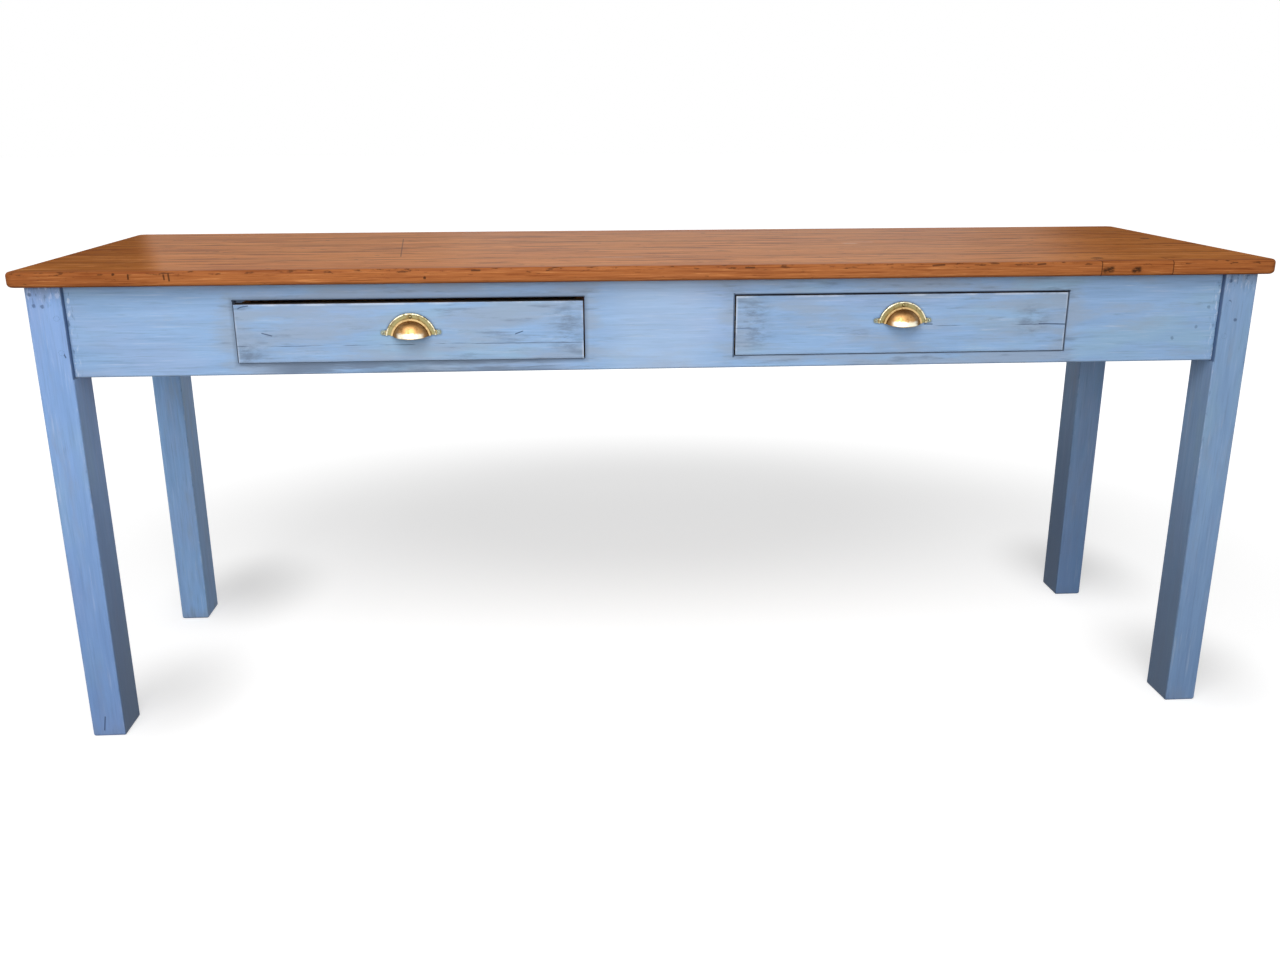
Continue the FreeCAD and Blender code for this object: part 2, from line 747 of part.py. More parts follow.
def drawer_side(label, side, spot):
    """A drawer's side: tails into the front, sockets for the back's pins, a groove for the floor."""
    body = new_body(label)
    low, high = mirrored(side, "drawer_inside", "drawer_half_width")
    block(body, (low, "drawer_front_thick", "0"), (high, "drawer_length", "drawer_side_height"))
    prism(body, "X", low, "drawer_side_thick", tails("0"))
    prism(body, "X", f"{low} - cut_overrun", "drawer_side_thick + 2 * cut_overrun", pins("joint_gap"),
          "Pocket")
    near, far = mirrored(side, "drawer_inside - cut_overrun", "drawer_inside + groove_depth")
    block(body, (near, "dovetail_lap - cut_overrun", "groove_rise"),
          (far, "drawer_length + cut_overrun", "drawer_floor_head + joint_gap"), "Pocket")
    put(body, spot)


def nail_spots():
    """Where the floor is nailed up into the back, as x and y."""
    return [(f"2 * drawer_inside * {share}", "(drawer_back_face + drawer_length) / 2")
            for share in NAIL_SHARES]


def drawer_back(label, spot):
    """A drawer's back, standing on the floor, with pins through the sides."""
    body = new_body(label)
    block(body, ("-drawer_inside", "drawer_back_face", "drawer_floor_head"),
          ("drawer_inside", "drawer_length", "drawer_floor_head + drawer_back_height"))
    for side in HANDS.values():
        low, _ = mirrored(side, "drawer_inside", "drawer_half_width")
        prism(body, "X", low, "drawer_side_thick", pins("0"))
    rounds(body, "Z", "drawer_floor_head - cut_overrun",
           "cut_overrun + nail_length - drawer_floor_thick + joint_gap", nail_spots(),
           "nail_radius + joint_gap")
    put(body, spot)


def drawer_floor(label, spot):
    """A drawer's floor, slid into its grooves from behind and run out under the back."""
    body = new_body(label)
    reach = "drawer_inside + groove_depth - joint_gap"
    block(body, (f"-({reach})", "drawer_front_thick - groove_depth + joint_gap", "groove_rise"),
          (reach, "drawer_length", "drawer_floor_head"))
    rounds(body, "Z", "groove_rise - cut_overrun", "drawer_floor_thick + 2 * cut_overrun", nail_spots(),
           "nail_radius + joint_gap")
    put(body, spot)


def moved(spot, step):
    """A spot moved by a step along each axis."""
    return tuple(f"{start} + {more}" for start, more in zip(spot, step))


def floor_nails(label, spot):
    """Flat-headed nails up through a drawer's floor into its back."""
    solids = []
    for x, y in nail_spots():
        head = bar("Cylinder", moved(spot, (x, y, "groove_rise - nail_head_thick")),
                   Radius="nail_head_radius", Height="nail_head_thick")
        shank = bar("Cylinder", moved(spot, (x, y, "groove_rise")), Radius="nail_radius",
                    Height="nail_length")
        solids.append(fused(head, shank))
    group(label, solids)


def pull_section(body):
    """Half section of a pull: flange with a beaded rim, stepped shoulder, domed cup of even wall."""
    sketch = sketch_on(body, "Z", "0")
    rim = [("pull_flange_radius", "0"), ("pull_flange_radius", "pull_flange_thick")]
    shoulder = [("pull_flange_radius - pull_bead_width", "pull_flange_thick"),
                ("pull_cup_radius", "pull_flange_thick"), ("pull_cup_radius", "pull_dome_foot"),
                ("pull_dome_radius", "pull_dome_foot")]
    crown = ("0", "pull_cup_reach")
    inner_crown = ("0", "pull_cup_reach - pull_wall")
    bead_middle = ("pull_flange_radius - pull_bead_width / 2", "pull_flange_thick")

    rise = value("pull_cup_reach - pull_dome_foot")
    radius = (value("pull_dome_radius") ** 2 + rise ** 2) / (2 * rise)
    middle = guess(crown) - BACK * radius
    inner_radius = radius - value("pull_wall")
    inner_angle = math.asin(-middle.y / inner_radius)
    inner_start = FreeCAD.Vector(inner_radius * math.cos(inner_angle), 0)
    outer_angle = math.asin((guess(shoulder[-1]) - middle).y / radius)

    def arc(centre, size, start, end):
        return sketch.addGeometry(Part.ArcOfCircle(Part.Circle(centre, UP, size), start, end))

    def line(start, end):
        return sketch.addGeometry(Part.LineSegment(start, end))

    foot = line(inner_start, guess(rim[0]))
    edge = line(guess(rim[0]), guess(rim[1]))
    bead = arc(guess(bead_middle), value("pull_bead_width / 2"), 0, math.pi)
    steps = [line(guess(start), guess(end)) for start, end in zip(shoulder, shoulder[1:])]
    dome = arc(middle, radius, outer_angle, math.pi / 2)
    wall = line(guess(crown), guess(inner_crown))
    hollow = arc(middle, inner_radius, inner_angle, math.pi / 2)
    chain = [foot, edge, bead, *steps, dome, wall]
    for first, second in zip(chain, chain[1:]):
        join(sketch, (first, 2), (second, 1))
    join(sketch, (wall, 2), (hollow, 2))
    join(sketch, (foot, 1), (hollow, 1))
    join(sketch, (dome, 3), (hollow, 3))
    hold(sketch, edge, 1, rim[0])
    hold(sketch, edge, 2, rim[1])
    for step, spot in zip(steps, shoulder):
        hold(sketch, step, 1, spot)
    hold(sketch, dome, 1, shoulder[-1])
    hold(sketch, wall, 1, crown)
    hold(sketch, wall, 2, inner_crown)
    sketch.addConstraint(Sketcher.Constraint("PointOnObject", bead, 3, steps[0]))
    sketch.addConstraint(Sketcher.Constraint("PointOnObject", dome, 3, -2))
    sketch.addConstraint(Sketcher.Constraint("PointOnObject", hollow, 1, -1))
    return sketch


def pull(name, spot):
    """A cup pull with an ear each side, turned about the axis that faces the room.

    Its foot is cut off above the middle of its arcs, along a slope that lets the lip droop.
    """
    body = new_body(f"{name}_drawer_pull")
    sketch = pull_section(body)
    shell = body.newObject("PartDesign::Revolution", "Revolution")
    shell.Profile = sketch
    shell.ReferenceAxis = (sketch, ["V_Axis"])
    shell.Angle = HALF_TURN
    shell.Reversed = True
    past = "(pull_cup_reach + cut_overrun)"
    wedge = [("-cut_overrun", "-cut_overrun"), (past, "-cut_overrun"),
             (past, f"pull_foot_rise - pull_lip_drop * {past} / pull_cup_reach"),
             ("-cut_overrun", "pull_foot_rise + pull_lip_drop * cut_overrun / pull_cup_reach")]
    half = "(pull_flange_radius + cut_overrun)"
    prism(body, "X", f"-{half}", f"2 * {half}", [wedge], "Pocket")
    reach = ("pull_cup_radius + pull_channel_width / 2", "pull_ear_middle")
    ears = [rectangle(*zip(mirrored(hand, *reach), ("pull_foot_rise", "pull_foot_rise + 2 * pull_ear_radius")))
            for hand in HANDS.values()]
    prism(body, "Y", "0", "pull_flange_thick", ears)
    tips = [(f"{hand} * pull_ear_middle", "pull_ear_rise") for hand in HANDS.values()]
    rounds(body, "Y", "0", "pull_flange_thick", tips, "pull_ear_radius", "Pad")
    rounds(body, "Y", "-cut_overrun", "pull_flange_thick + 2 * cut_overrun", pull_screw_spots(),
           "pull_screw_radius + joint_gap")
    put(body, moved(spot, ("0", "0", f"{name}_pull_rise")), HALF_TURN)


def pull_screws(name, spot):
    """Dome-headed screws through a pull's ears and the head of its flange."""
    solids = []
    for x, rise in pull_screw_spots():
        seat = moved(spot, (x, "-pull_flange_thick", f"{name}_pull_rise + {rise}"))
        head = bar("Sphere", seat, QUARTER_TURN, RIGHT, Radius="pull_screw_head_radius", Angle1="0")
        shank = bar("Cylinder", seat, -QUARTER_TURN, RIGHT, Radius="pull_screw_radius",
                    Height="pull_screw_length")
        solids.append(fused(head, shank))
    group(f"{name}_drawer_pull_screws", solids)


def drawer(name, hand):
    """One whole drawer with its pull."""
    spot = drawer_spot(name, hand)
    drawer_front(name, spot)
    for side_name, side in HANDS.items():
        drawer_side(f"{name}_drawer_{side_name}_side", side, spot)
    drawer_back(f"{name}_drawer_back", spot)
    drawer_floor(f"{name}_drawer_floor", spot)
    floor_nails(f"{name}_drawer_floor_nails", spot)
    pull(name, spot)
    pull_screws(name, spot)


def check():
    """Stop if any feature failed, any cut removed nothing, or any piece is not a sound solid."""
    doc.recompute()
    for thing in doc.Objects:
        if {"Invalid", "Error"} & set(thing.State):
            raise RuntimeError(f"{thing.Label} failed to compute")
        if thing.TypeId == "PartDesign::Pocket":
            if not thing.Shape.Volume < thing.BaseFeature.Shape.Volume:
                raise RuntimeError(f"{thing.Label} of {thing.getParentGeoFeatureGroup().Label} cuts nothing")
    for piece in pieces:
        if piece.Shape.isNull() or not piece.Shape.isValid() or not piece.Shape.Solids:
            raise RuntimeError(f"{piece.Label} is not a sound solid")


def write():
    """Write each sub-part to a file of its own name."""
    os.makedirs("parts", exist_ok=True)
    for piece in pieces:
        piece.Shape.exportStep(f"parts/{piece.Label}.step")


fill_sheet()
for board in BOARD_SHARES:
    top_board(board)
top_edge_patch()
legs()
aprons()
front()
joint_pegs()
for bay, bay_hand in HANDS.items():
    drawer_bay(bay, bay_hand)
    drawer(bay, bay_hand)
kicker_screws()
glue_blocks()
check()
write()
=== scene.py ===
"""Looks for a painted pine kitchen table with two drawers.

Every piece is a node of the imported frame. This script gives each one a procedural finish, and
sets the camera, the lamps and a pale floor. Lengths are metres in the frame's own axes, but for
the marks of use and the arcs of the pulls, which are millimetres.
"""

import math
import random

import bpy
from mathutils import Matrix, Vector


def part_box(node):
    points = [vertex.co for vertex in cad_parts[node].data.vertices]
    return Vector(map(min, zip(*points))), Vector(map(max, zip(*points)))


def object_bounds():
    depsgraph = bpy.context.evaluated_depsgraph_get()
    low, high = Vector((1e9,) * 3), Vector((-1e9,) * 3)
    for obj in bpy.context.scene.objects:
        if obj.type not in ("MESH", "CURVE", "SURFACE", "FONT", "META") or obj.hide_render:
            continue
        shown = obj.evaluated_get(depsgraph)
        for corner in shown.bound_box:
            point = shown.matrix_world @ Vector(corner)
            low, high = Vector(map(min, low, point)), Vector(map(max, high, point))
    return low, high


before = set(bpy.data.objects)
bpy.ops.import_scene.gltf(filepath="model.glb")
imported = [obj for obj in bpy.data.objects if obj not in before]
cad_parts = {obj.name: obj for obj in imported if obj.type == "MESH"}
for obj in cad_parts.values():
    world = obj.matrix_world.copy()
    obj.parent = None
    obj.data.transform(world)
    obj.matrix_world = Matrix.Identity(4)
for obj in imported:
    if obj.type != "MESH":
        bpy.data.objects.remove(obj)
CAD_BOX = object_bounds()

X, Y, Z = range(3)
MM = 0.001

# The photograph's viewpoint: image width and focal length in pixels, place in metres, angles in degrees.
IMAGE_WIDTH = 1280
FOCAL_PIXELS = 1176
SENSOR_WIDTH = 36
CAMERA_PLACE = (-0.1457, -2.0752, 0.9850)
CAMERA_YAW = 3.610
CAMERA_PITCH = -17.272
CAMERA_ROLL = -0.160


def srgb(red, green, blue):
    """A colour as picked on screen, 0 to 255, as the linear one that nodes take."""
    def linear(level):
        share = level / 255
        return share / 12.92 if share <= 0.04045 else ((share + 0.055) / 1.055) ** 2.4
    return (linear(red), linear(green), linear(blue), 1)


# Colours of the finishes.
BLUE = srgb(148, 182, 222)
BLUE_DEEP = srgb(138, 171, 211)
BLUE_GREEN = srgb(148, 182, 210)
BLUE_LILAC = srgb(158, 178, 214)
BLUE_PALE = srgb(206, 219, 236)
BLUE_GREY = srgb(150, 167, 190)
BLUE_GRIME_AND_SHADE = srgb(84, 116, 164)
BLUE_INNER_SHADE = srgb(74, 92, 114)
SLATE = srgb(104, 120, 142)
# Painted shade in and beside the drawers' gaps.
GAP_SHADE = srgb(34, 50, 74)
GAP_SHADE_SOFT = srgb(78, 100, 130)
JAMB = srgb(140, 160, 188)
# CREASE marks nail holes, cuts, cracks and dark nicks, and is also painted shade in creases.
CREASE = srgb(48, 70, 104)
WAXED_LIGHT = srgb(208, 130, 62)
WAXED_MID = srgb(186, 108, 46)
WAXED_DARK = srgb(116, 58, 26)
WAXED_WORN_AND_SHEEN = srgb(228, 155, 94)
WAXED_EDGE = srgb(150, 86, 52)
WAXED_OCHRE = srgb(150, 88, 34)
WAXED_SCUFF = srgb(214, 190, 176)
BARE_LIGHT = srgb(214, 178, 128)
BARE_MID = srgb(192, 150, 100)
BARE_DARK = srgb(150, 108, 66)
# Dirty bare wood, dark enough to paint the shade in the drawers' gaps.
RAW_EDGE_AND_SHADE = srgb(50, 47, 46)
GRIME = srgb(46, 30, 20)
BRASS_WHITE = srgb(254, 246, 222)
BRASS_PALE = srgb(244, 236, 204)
BRASS_GOLD = srgb(198, 152, 98)
BRASS_TAN = srgb(192, 164, 116)
BRASS_OLIVE = srgb(144, 136, 96)
BRASS_BROWN = srgb(112, 74, 30)
BRASS_EAR = srgb(150, 160, 148)
STEEL_GREY = srgb(120, 118, 114)
STEEL_RUST = srgb(92, 58, 38)

# Marks of use in millimetres, each where the photograph shows it.
LEG_NAILS = ((-938, -275, 735), (-934, -275, 718), (-922, -275, 717), (902, -275, 735), (905, -275, 702),
             (918, -275, 673))
APRON_NAILS = ((859.5, -267, 661.6), (822.4, -267, 644), (876, -267, 693))
EDGE_DOTS = ((-806, -295, 766), (-354, -295, 756))
EDGE_CUTS = (((-785, -295, 765), (-785, -295, 759)), ((-734, -295, 764), (-733.5, -295, 758)),
             ((-727, -295, 766), (-726.5, -295, 756)), ((-284, -294, 766), (-272, -294, 766)),
             ((128, -294, 766), (141, -294, 766)), ((416, -294, 766), (434, -294, 767)),
             ((580, -294, 766), (592, -294, 767)))
PATCH_KNOTS = (((688, -295, 756), (697, -295, 757.5)), ((734, -295, 756), (740, -295, 757)))
TOP_KNOTS = ((912, 42, 770), (693, -251, 770))
TOP_CUTS = (((-441, 152, 770), (-428, 35, 770)), ((-428, 35, 770), (-409, -135, 770)))
TOP_SCUFFS = (((350, 62, 770), (372, 58, 770)), ((366, 30, 770), (398, 26, 770)),
              ((352, 6, 770), (364, 4, 770)), ((-89, -169, 770), (-25, -174, 770)))
LEG_CUTS = (((-922, -275, 36), (-926, -275, 12)), ((-901, -275, 646), (-899, -275, 640)))
# Marks on each drawer's front: how grey it is at the least in its left half and at its right end, how high
# its crack runs, its scratches from one point to another, and its stains.
DRAWER_MARKS = {
    "left_drawer_front": {
        "greys": (0.6, 1),
        "crack_height": 652,
        "cuts": (((-606, -272, 672), (-592, -272, 668)), ((-638, -272, 710), (-634, -272, 712)),
                 ((-634, -272, 712), (-623, -272, 714)), ((-223, -272, 666), (-212, -272, 670))),
        "stains": ((-142, -272, 686), (-146, -272, 658), (-630, -272, 642)),
    },
    "right_drawer_front": {
        "greys": (0.4, 0.7),
        "crack_height": 669,
        "cuts": (((602, -267, 670), (646, -267, 668.5)), ((417, -267, 672), (430, -267, 671.5))),
        "stains": ((146, -267, 692), (150, -267, 664), (590, -267, 674)),
    },
}
# The stretch of the top, in metres, that carries a painted pale sheen, with where it is fully so.
SHEEN_FROM, SHEEN_FULL = (-0.88, 0.86), (-0.83, 0.66)
# How far the ends of that stretch lean over towards the back, as a share of the way back.
SHEEN_LEAN = 0.36
# The stretch, in metres, over which the top gets lighter towards its right end.
RIGHT_LIGHT = (0.6, 0.9)
# How much darker each leg's coat is at its head, from painted shade, and at its foot, from painted shade and
# grime.
LEG_SHADE_AND_GRIME = {"leg_front_left": (0.2, 0.5), "leg_front_right": (0.2, 0.5), "leg_back_left": (0, 0.1),
             "leg_back_right": (0.2, 0.65)}
# What each leg's red, green and blue are multiplied by, which paints light on the back-left leg and shade on
# the front-right, and how much painted shade darkens its inner face towards the foot.
LEG_TINTS_AND_LIGHT = {"leg_front_left": (1.01, 1.04, 1.14), "leg_front_right": (0.97, 0.96, 0.95),
             "leg_back_left": (1.08, 1.18, 1.26), "leg_back_right": (1, 1, 1)}
LEG_INNER_SHADE = {"leg_front_left": 0.75, "leg_front_right": 0.75, "leg_back_left": 0.2, "leg_back_right": 0.75}
# How high up the legs grime and painted shade reach, in metres, how grey the rails are at the least, partly
# as painted shade, and the paint's gloss.
LEG_DARKENING_HEIGHT = 0.55
RAIL_GREY = 0.75
PAINT_GLOSS = 0.25
# A pull's arcs in millimetres from their middle: its rim, its bead's inner side, its step and its dome.
PULL_RIM = 39
PULL_BEAD = 36.2
PULL_STEP = 31
PULL_DOME = 28
# Soft lamps: place, the point that each faces, width and height, all in metres, and watts.
LAMPS = {
    "key": ((-0.6, -2.1, 2.5), (0, -0.1, 0.45), (2.2, 1.6), 45),
    "fill": ((-0.2, -3.2, 1.4), (0, 0, 0.45), (2.4, 1), 38),
    "back": ((0.5, 3.4, 0.9), (0, 0.25, 0.4), (2.4, 1), 12),
}


class Graph:
    """A material's nodes. Each call adds a node or two and gives back the socket to use next."""

    def __init__(self, name, shift=(0, 0, 0)):
        self.material = bpy.data.materials.new(name)
        self.material.use_nodes = True
        tree = self.material.node_tree
        tree.nodes.clear()
        self.nodes = tree.nodes
        self.links = tree.links
        self.shader = self.nodes.new("ShaderNodeBsdfPrincipled")
        output = self.nodes.new("ShaderNodeOutputMaterial")
        self.links.new(self.shader.outputs["BSDF"], output.inputs["Surface"])
        self.place = self.nodes.new("ShaderNodeTexCoord").outputs["Object"]
        split = self.nodes.new("ShaderNodeSeparateXYZ")
        self.links.new(self.place, split.inputs[0])
        self.axes = split.outputs
        self.moved = self.vector("ADD", self.place, shift)

    def join(self, value, socket):
        """Links a socket to another node's output, or sets it to a plain value."""
        if isinstance(value, bpy.types.NodeSocket):
            self.links.new(value, socket)
        else:
            socket.default_value = value

    def number(self, operation, *values):
        node = self.nodes.new("ShaderNodeMath")
        node.operation = operation
        for value, socket in zip(values, node.inputs):
            self.join(value, socket)
        return node.outputs[0]

    def vector(self, operation, *values):
        node = self.nodes.new("ShaderNodeVectorMath")
        node.operation = operation
        for value, socket in zip(values, node.inputs):
            self.join(value, socket)
        return node.outputs["Value" if operation in ("DOT_PRODUCT", "DISTANCE", "LENGTH") else "Vector"]

    def both(self, first, second):
        """1 where two masks are both 1."""
        return self.number("MULTIPLY", first, second)

    def either(self, first, second):
        """1 where one of two masks is 1, or both are."""
        return self.number("MAXIMUM", first, second)

    def noise(self, scale, detail=3, roughness=0.5):
        """Noise from 0 to 1. Along each axis its marks repeat about that many times a metre."""
        node = self.nodes.new("ShaderNodeTexNoise")
        node.inputs["Scale"].default_value = 1
        node.inputs["Detail"].default_value = detail
        node.inputs["Roughness"].default_value = roughness
        self.links.new(self.vector("MULTIPLY", self.moved, scale), node.inputs["Vector"])
        return node.outputs["Fac"]

    def step(self, value, low, high):
        """Goes smoothly from 0 at low to 1 at high. Low may be the larger of the two."""
        node = self.nodes.new("ShaderNodeMapRange")
        node.interpolation_type = "SMOOTHSTEP"
        self.join(value, node.inputs["Value"])
        node.inputs["From Min"].default_value = low
        node.inputs["From Max"].default_value = high
        return node.outputs["Result"]

    def blend(self, share, first, second, most=1):
        """A colour that goes from first where share is 0 towards second where it is 1."""
        node = self.nodes.new("ShaderNodeMix")
        node.data_type = "RGBA"
        colours = [socket for socket in node.inputs if socket.type == "RGBA"]
        self.join(self.number("MULTIPLY", share, most), node.inputs["Factor"])
        self.join(first, colours[0])
        self.join(second, colours[1])
        return next(socket for socket in node.outputs if socket.type == "RGBA")

    def between(self, share, low, high):
        """A number from low to high."""
        return self.number("MULTIPLY_ADD", share, high - low, low)

    def arris(self, radius):
        """How sharply the surface turns within that radius: 0 on a flat, more on an edge."""
        rounded = self.nodes.new("ShaderNodeBevel")
        rounded.inputs["Radius"].default_value = radius
        true = self.nodes.new("ShaderNodeNewGeometry").outputs["True Normal"]
        return self.number("SUBTRACT", 1, self.vector("DOT_PRODUCT", rounded.outputs[0], true))

    def crease(self, reach):
        """How far the surface is tucked in among its neighbours within that reach, from 0 to 1."""
        node = self.nodes.new("ShaderNodeAmbientOcclusion")
        node.samples = 4
        node.inputs["Distance"].default_value = reach
        return self.number("SUBTRACT", 1, node.outputs["AO"])

    def facing(self, axis):
        """1 on faces square to an axis, and 0 on faces along it."""
        normal = self.nodes.new("ShaderNodeNewGeometry").outputs["True Normal"]
        split = self.nodes.new("ShaderNodeSeparateXYZ")
        self.links.new(normal, split.inputs[0])
        return self.step(self.number("ABSOLUTE", split.outputs[axis]), 0.3, 0.6)

    def ends(self, axis, low, high, reach):
        """1 at both ends of a stretch of an axis, fading to 0 within reach."""
        nearest = self.number("MINIMUM", self.number("SUBTRACT", self.axes[axis], low),
                              self.number("SUBTRACT", high, self.axes[axis]))
        return self.step(nearest, reach, 0)

    def dots(self, spots, radius, grain=400, blur=0.3):
        """1 on small round spots, ragged at their rims by so many bites a metre and blurred by that share.

        The noise adds about half a radius to each distance, so the rim is set past one radius.
        """
        rim = 1.4
        ragged = self.number("MULTIPLY", self.noise((grain, grain, grain)), radius)
        found = 0
        for spot in spots:
            middle = [value * MM for value in spot]
            far = self.number("ADD", self.vector("DISTANCE", self.place, middle), ragged)
            found = self.either(found, self.step(far, (rim + blur) * radius, (rim - blur) * radius))
        return found

    def cuts(self, ends, width):
        """1 along straight scratches, each from one point to another."""
        found = 0
        for start, end in ends:
            first, last = (Vector([value * MM for value in point]) for point in (start, end))
            way = (last - first).normalized()
            reach = self.vector("SUBTRACT", self.place, tuple(first))
            along = self.number("MAXIMUM", self.vector("DOT_PRODUCT", reach, tuple(way)), 0)
            along = self.number("MINIMUM", along, (last - first).length)
            nearest = self.vector("MULTIPLY", along, tuple(way))
            off = self.vector("LENGTH", self.vector("SUBTRACT", reach, nearest))
            found = self.either(found, self.step(off, width, 0.3 * width))
        return found

    def line(self, axis, across, place, width, wander):
        """1 along a thin line at a place across the surface, wandering as it runs along an axis."""
        wave = self.number("SUBTRACT", self.noise(stretch(axis, 9, 0)), 0.5)
        middle = self.number("MULTIPLY_ADD", wave, wander, place)
        off = self.number("ABSOLUTE", self.number("SUBTRACT", self.axes[across], middle))
        return self.step(off, width, 0.2 * width)

    def relief(self, height, depth, under=None):
        """A bumped normal, for a height from 0 to 1 that stands for that depth."""
        node = self.nodes.new("ShaderNodeBump")
        node.inputs["Distance"].default_value = depth
        self.join(height, node.inputs["Height"])
        if under is not None:
            self.join(under, node.inputs["Normal"])
        return node.outputs["Normal"]

    def show(self, colour, roughness, normal, metallic=0, gloss=0.5):
        """Feeds the shader and gives back the material."""
        self.join(colour, self.shader.inputs["Base Color"])
        self.join(roughness, self.shader.inputs["Roughness"])
        self.join(normal, self.shader.inputs["Normal"])
        self.shader.inputs["Metallic"].default_value = metallic
        self.shader.inputs["Specular IOR Level"].default_value = gloss
        return self.material


def stretch(axis, along, across):
    """Marks a metre for noise that is drawn out along one axis."""
    return tuple(along if a == axis else across for a in (X, Y, Z))


def longest(low, high):
    sides = high - low
    return max((X, Y, Z), key=lambda axis: sides[axis])


def shift_of(name):
    """A place in the noise of each piece's own."""
    chance = random.Random(name)
    return tuple(chance.uniform(-20, 20) for _ in (X, Y, Z))


def growth(graph, axis, rings, bend):
    """Pine's grain: dark late wood in so many bent rings a metre each way, and fine fibres along the axis."""
    warp = graph.noise(stretch(axis, 0.8, 9), detail=2, roughness=0.4)
    across = graph.vector("DOT_PRODUCT", graph.moved, rings)
    turns = graph.number("MULTIPLY_ADD", warp, bend, across)
    ring = graph.number("FRACT", turns)
    late = graph.number("MULTIPLY", graph.step(ring, 0.35, 0.9), graph.step(ring, 1, 0.93))
    fibre = graph.noise(stretch(axis, 16, 900), detail=3, roughness=0.6)
    return late, fibre


def waxed_grain(graph, late, fibre, streaks, leaning, centre):
    """Wax over pine's grain: a painted pale sheen in the centre, ochre at the left end, lighter at the right.
    """
    cloud = graph.noise(stretch(X, 1.6, 14), detail=3)
    bands = graph.noise((5, 40, 90), detail=4, roughness=0.6)
    flecks = graph.noise((22, 110, 600), detail=3, roughness=0.6)
    pores = graph.noise((40, 90, 300), detail=2)
    colour = graph.blend(graph.step(cloud, 0.3, 0.7), WAXED_LIGHT, WAXED_MID)
    colour = graph.blend(graph.step(bands, 0.5, 0.68), colour, WAXED_DARK, 0.45)
    colour = graph.blend(late, colour, WAXED_DARK, 0.4)
    # Painted sheen: the centre of the top is paler, as a reflection of the room.
    dull = graph.both(centre, graph.step(graph.noise(stretch(X, 4, 30)), 0.2, 0.55))
    colour = graph.blend(dull, colour, WAXED_WORN_AND_SHEEN, 0.27)
    colour = graph.blend(graph.step(graph.axes[X], *RIGHT_LIGHT), colour, WAXED_LIGHT, 0.3)
    colour = graph.blend(graph.step(leaning[0], SHEEN_FULL[0], SHEEN_FROM[0]), colour, WAXED_OCHRE, 0.6)
    colour = graph.blend(graph.step(streaks, 0.53, 0.66), colour, WAXED_DARK, 0.75)
    colour = graph.blend(graph.step(streaks, 0.45, 0.32), colour, WAXED_WORN_AND_SHEEN, 0.5)
    colour = graph.blend(graph.step(flecks, 0.6, 0.72), colour, WAXED_DARK, 0.6)
    colour = graph.blend(graph.step(flecks, 0.4, 0.3), colour, WAXED_WORN_AND_SHEEN, 0.4)
    colour = graph.blend(graph.step(fibre, 0.5, 0.75), colour, WAXED_LIGHT, 0.25)
    return graph.blend(graph.step(pores, 0.69, 0.76), colour, GRIME, 0.65)


def top_marks(graph, colour, streaks):
    """Dark seams between the boards, knots, scratches and pale scuffs on the top."""
    seam_width = 3 * MM
    knot_radius = 9 * MM
    knot_bites = 160
    cut_width = 1.4 * MM
    scuff_width = 11 * MM
    for board in ("second", "middle", "fourth", "back"):
        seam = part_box(f"top_board_{board}")[0][Y]
        colour = graph.blend(graph.line(X, Y, seam, seam_width, 0), colour, GRIME, 0.7)
    colour = graph.blend(graph.dots(TOP_KNOTS, knot_radius, knot_bites), colour, GRIME, 0.75)
    colour = graph.blend(graph.cuts(TOP_CUTS, cut_width), colour, GRIME, 0.6)
    scuffed = graph.both(graph.cuts(TOP_SCUFFS, scuff_width), graph.step(streaks, 0.56, 0.42))
    return graph.blend(scuffed, colour, WAXED_SCUFF, 0.35)


def top_edges(graph, colour, low, high):
    """The front edge and the ends of the top: dark, worked rough, nicked near the head, with painted shade at
    the foot.
    """
    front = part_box("top_edge_patch")[0][Y]
    left, right = CAD_BOX[0][X], CAD_BOX[1][X]
    face, face_fade, turn_fade = 3 * MM, 5 * MM, 30 * MM
    end_face, end_dark = 4 * MM, 3 * MM
    nicks_full, nicks_fade = 4 * MM, 10 * MM
    hem_full, hem_fade = MM, 3 * MM
    edge = graph.either(graph.step(graph.axes[Y], front + face_fade, front + face),
                        graph.ends(X, left, right, end_face))
    turn = graph.step(graph.axes[Y], front + turn_fade, front + face)
    colour = graph.blend(graph.either(edge, turn), colour, WAXED_EDGE, 0.6)
    worked = graph.noise((13, 30, 430), detail=4, roughness=0.64)
    colour = graph.blend(graph.both(edge, graph.step(worked, 0.53, 0.68)), colour, WAXED_DARK, 0.6)
    colour = graph.blend(graph.both(edge, graph.step(worked, 0.45, 0.3)), colour, WAXED_WORN_AND_SHEEN, 0.5)
    upper = graph.step(graph.axes[Z], high[Z] - nicks_fade, high[Z] - nicks_full)
    nicks = graph.number("MULTIPLY_ADD", upper, 0.1, graph.noise((60, 30, 260), detail=3, roughness=0.6))
    colour = graph.blend(graph.both(edge, graph.step(nicks, 0.66, 0.76)), colour, GRIME, 0.65)
    # Painted shade along the foot of the edge.
    hem_shade = graph.both(edge, graph.step(graph.axes[Z], low[Z] + hem_fade, low[Z] + hem_full))
    colour = graph.blend(hem_shade, colour, GRIME, 0.5)
    return graph.blend(graph.ends(X, left, right, end_dark), colour, WAXED_DARK, 0.45)


def front_edge_marks(graph, colour):
    """Dark dots and cuts in the front edge of the top."""
    dot_radius = 2.4 * MM
    cut_width = 2 * MM
    colour = graph.blend(graph.dots(EDGE_DOTS, dot_radius), colour, GRIME, 0.8)
    return graph.blend(graph.cuts(EDGE_CUTS, cut_width), colour, GRIME, 0.75)


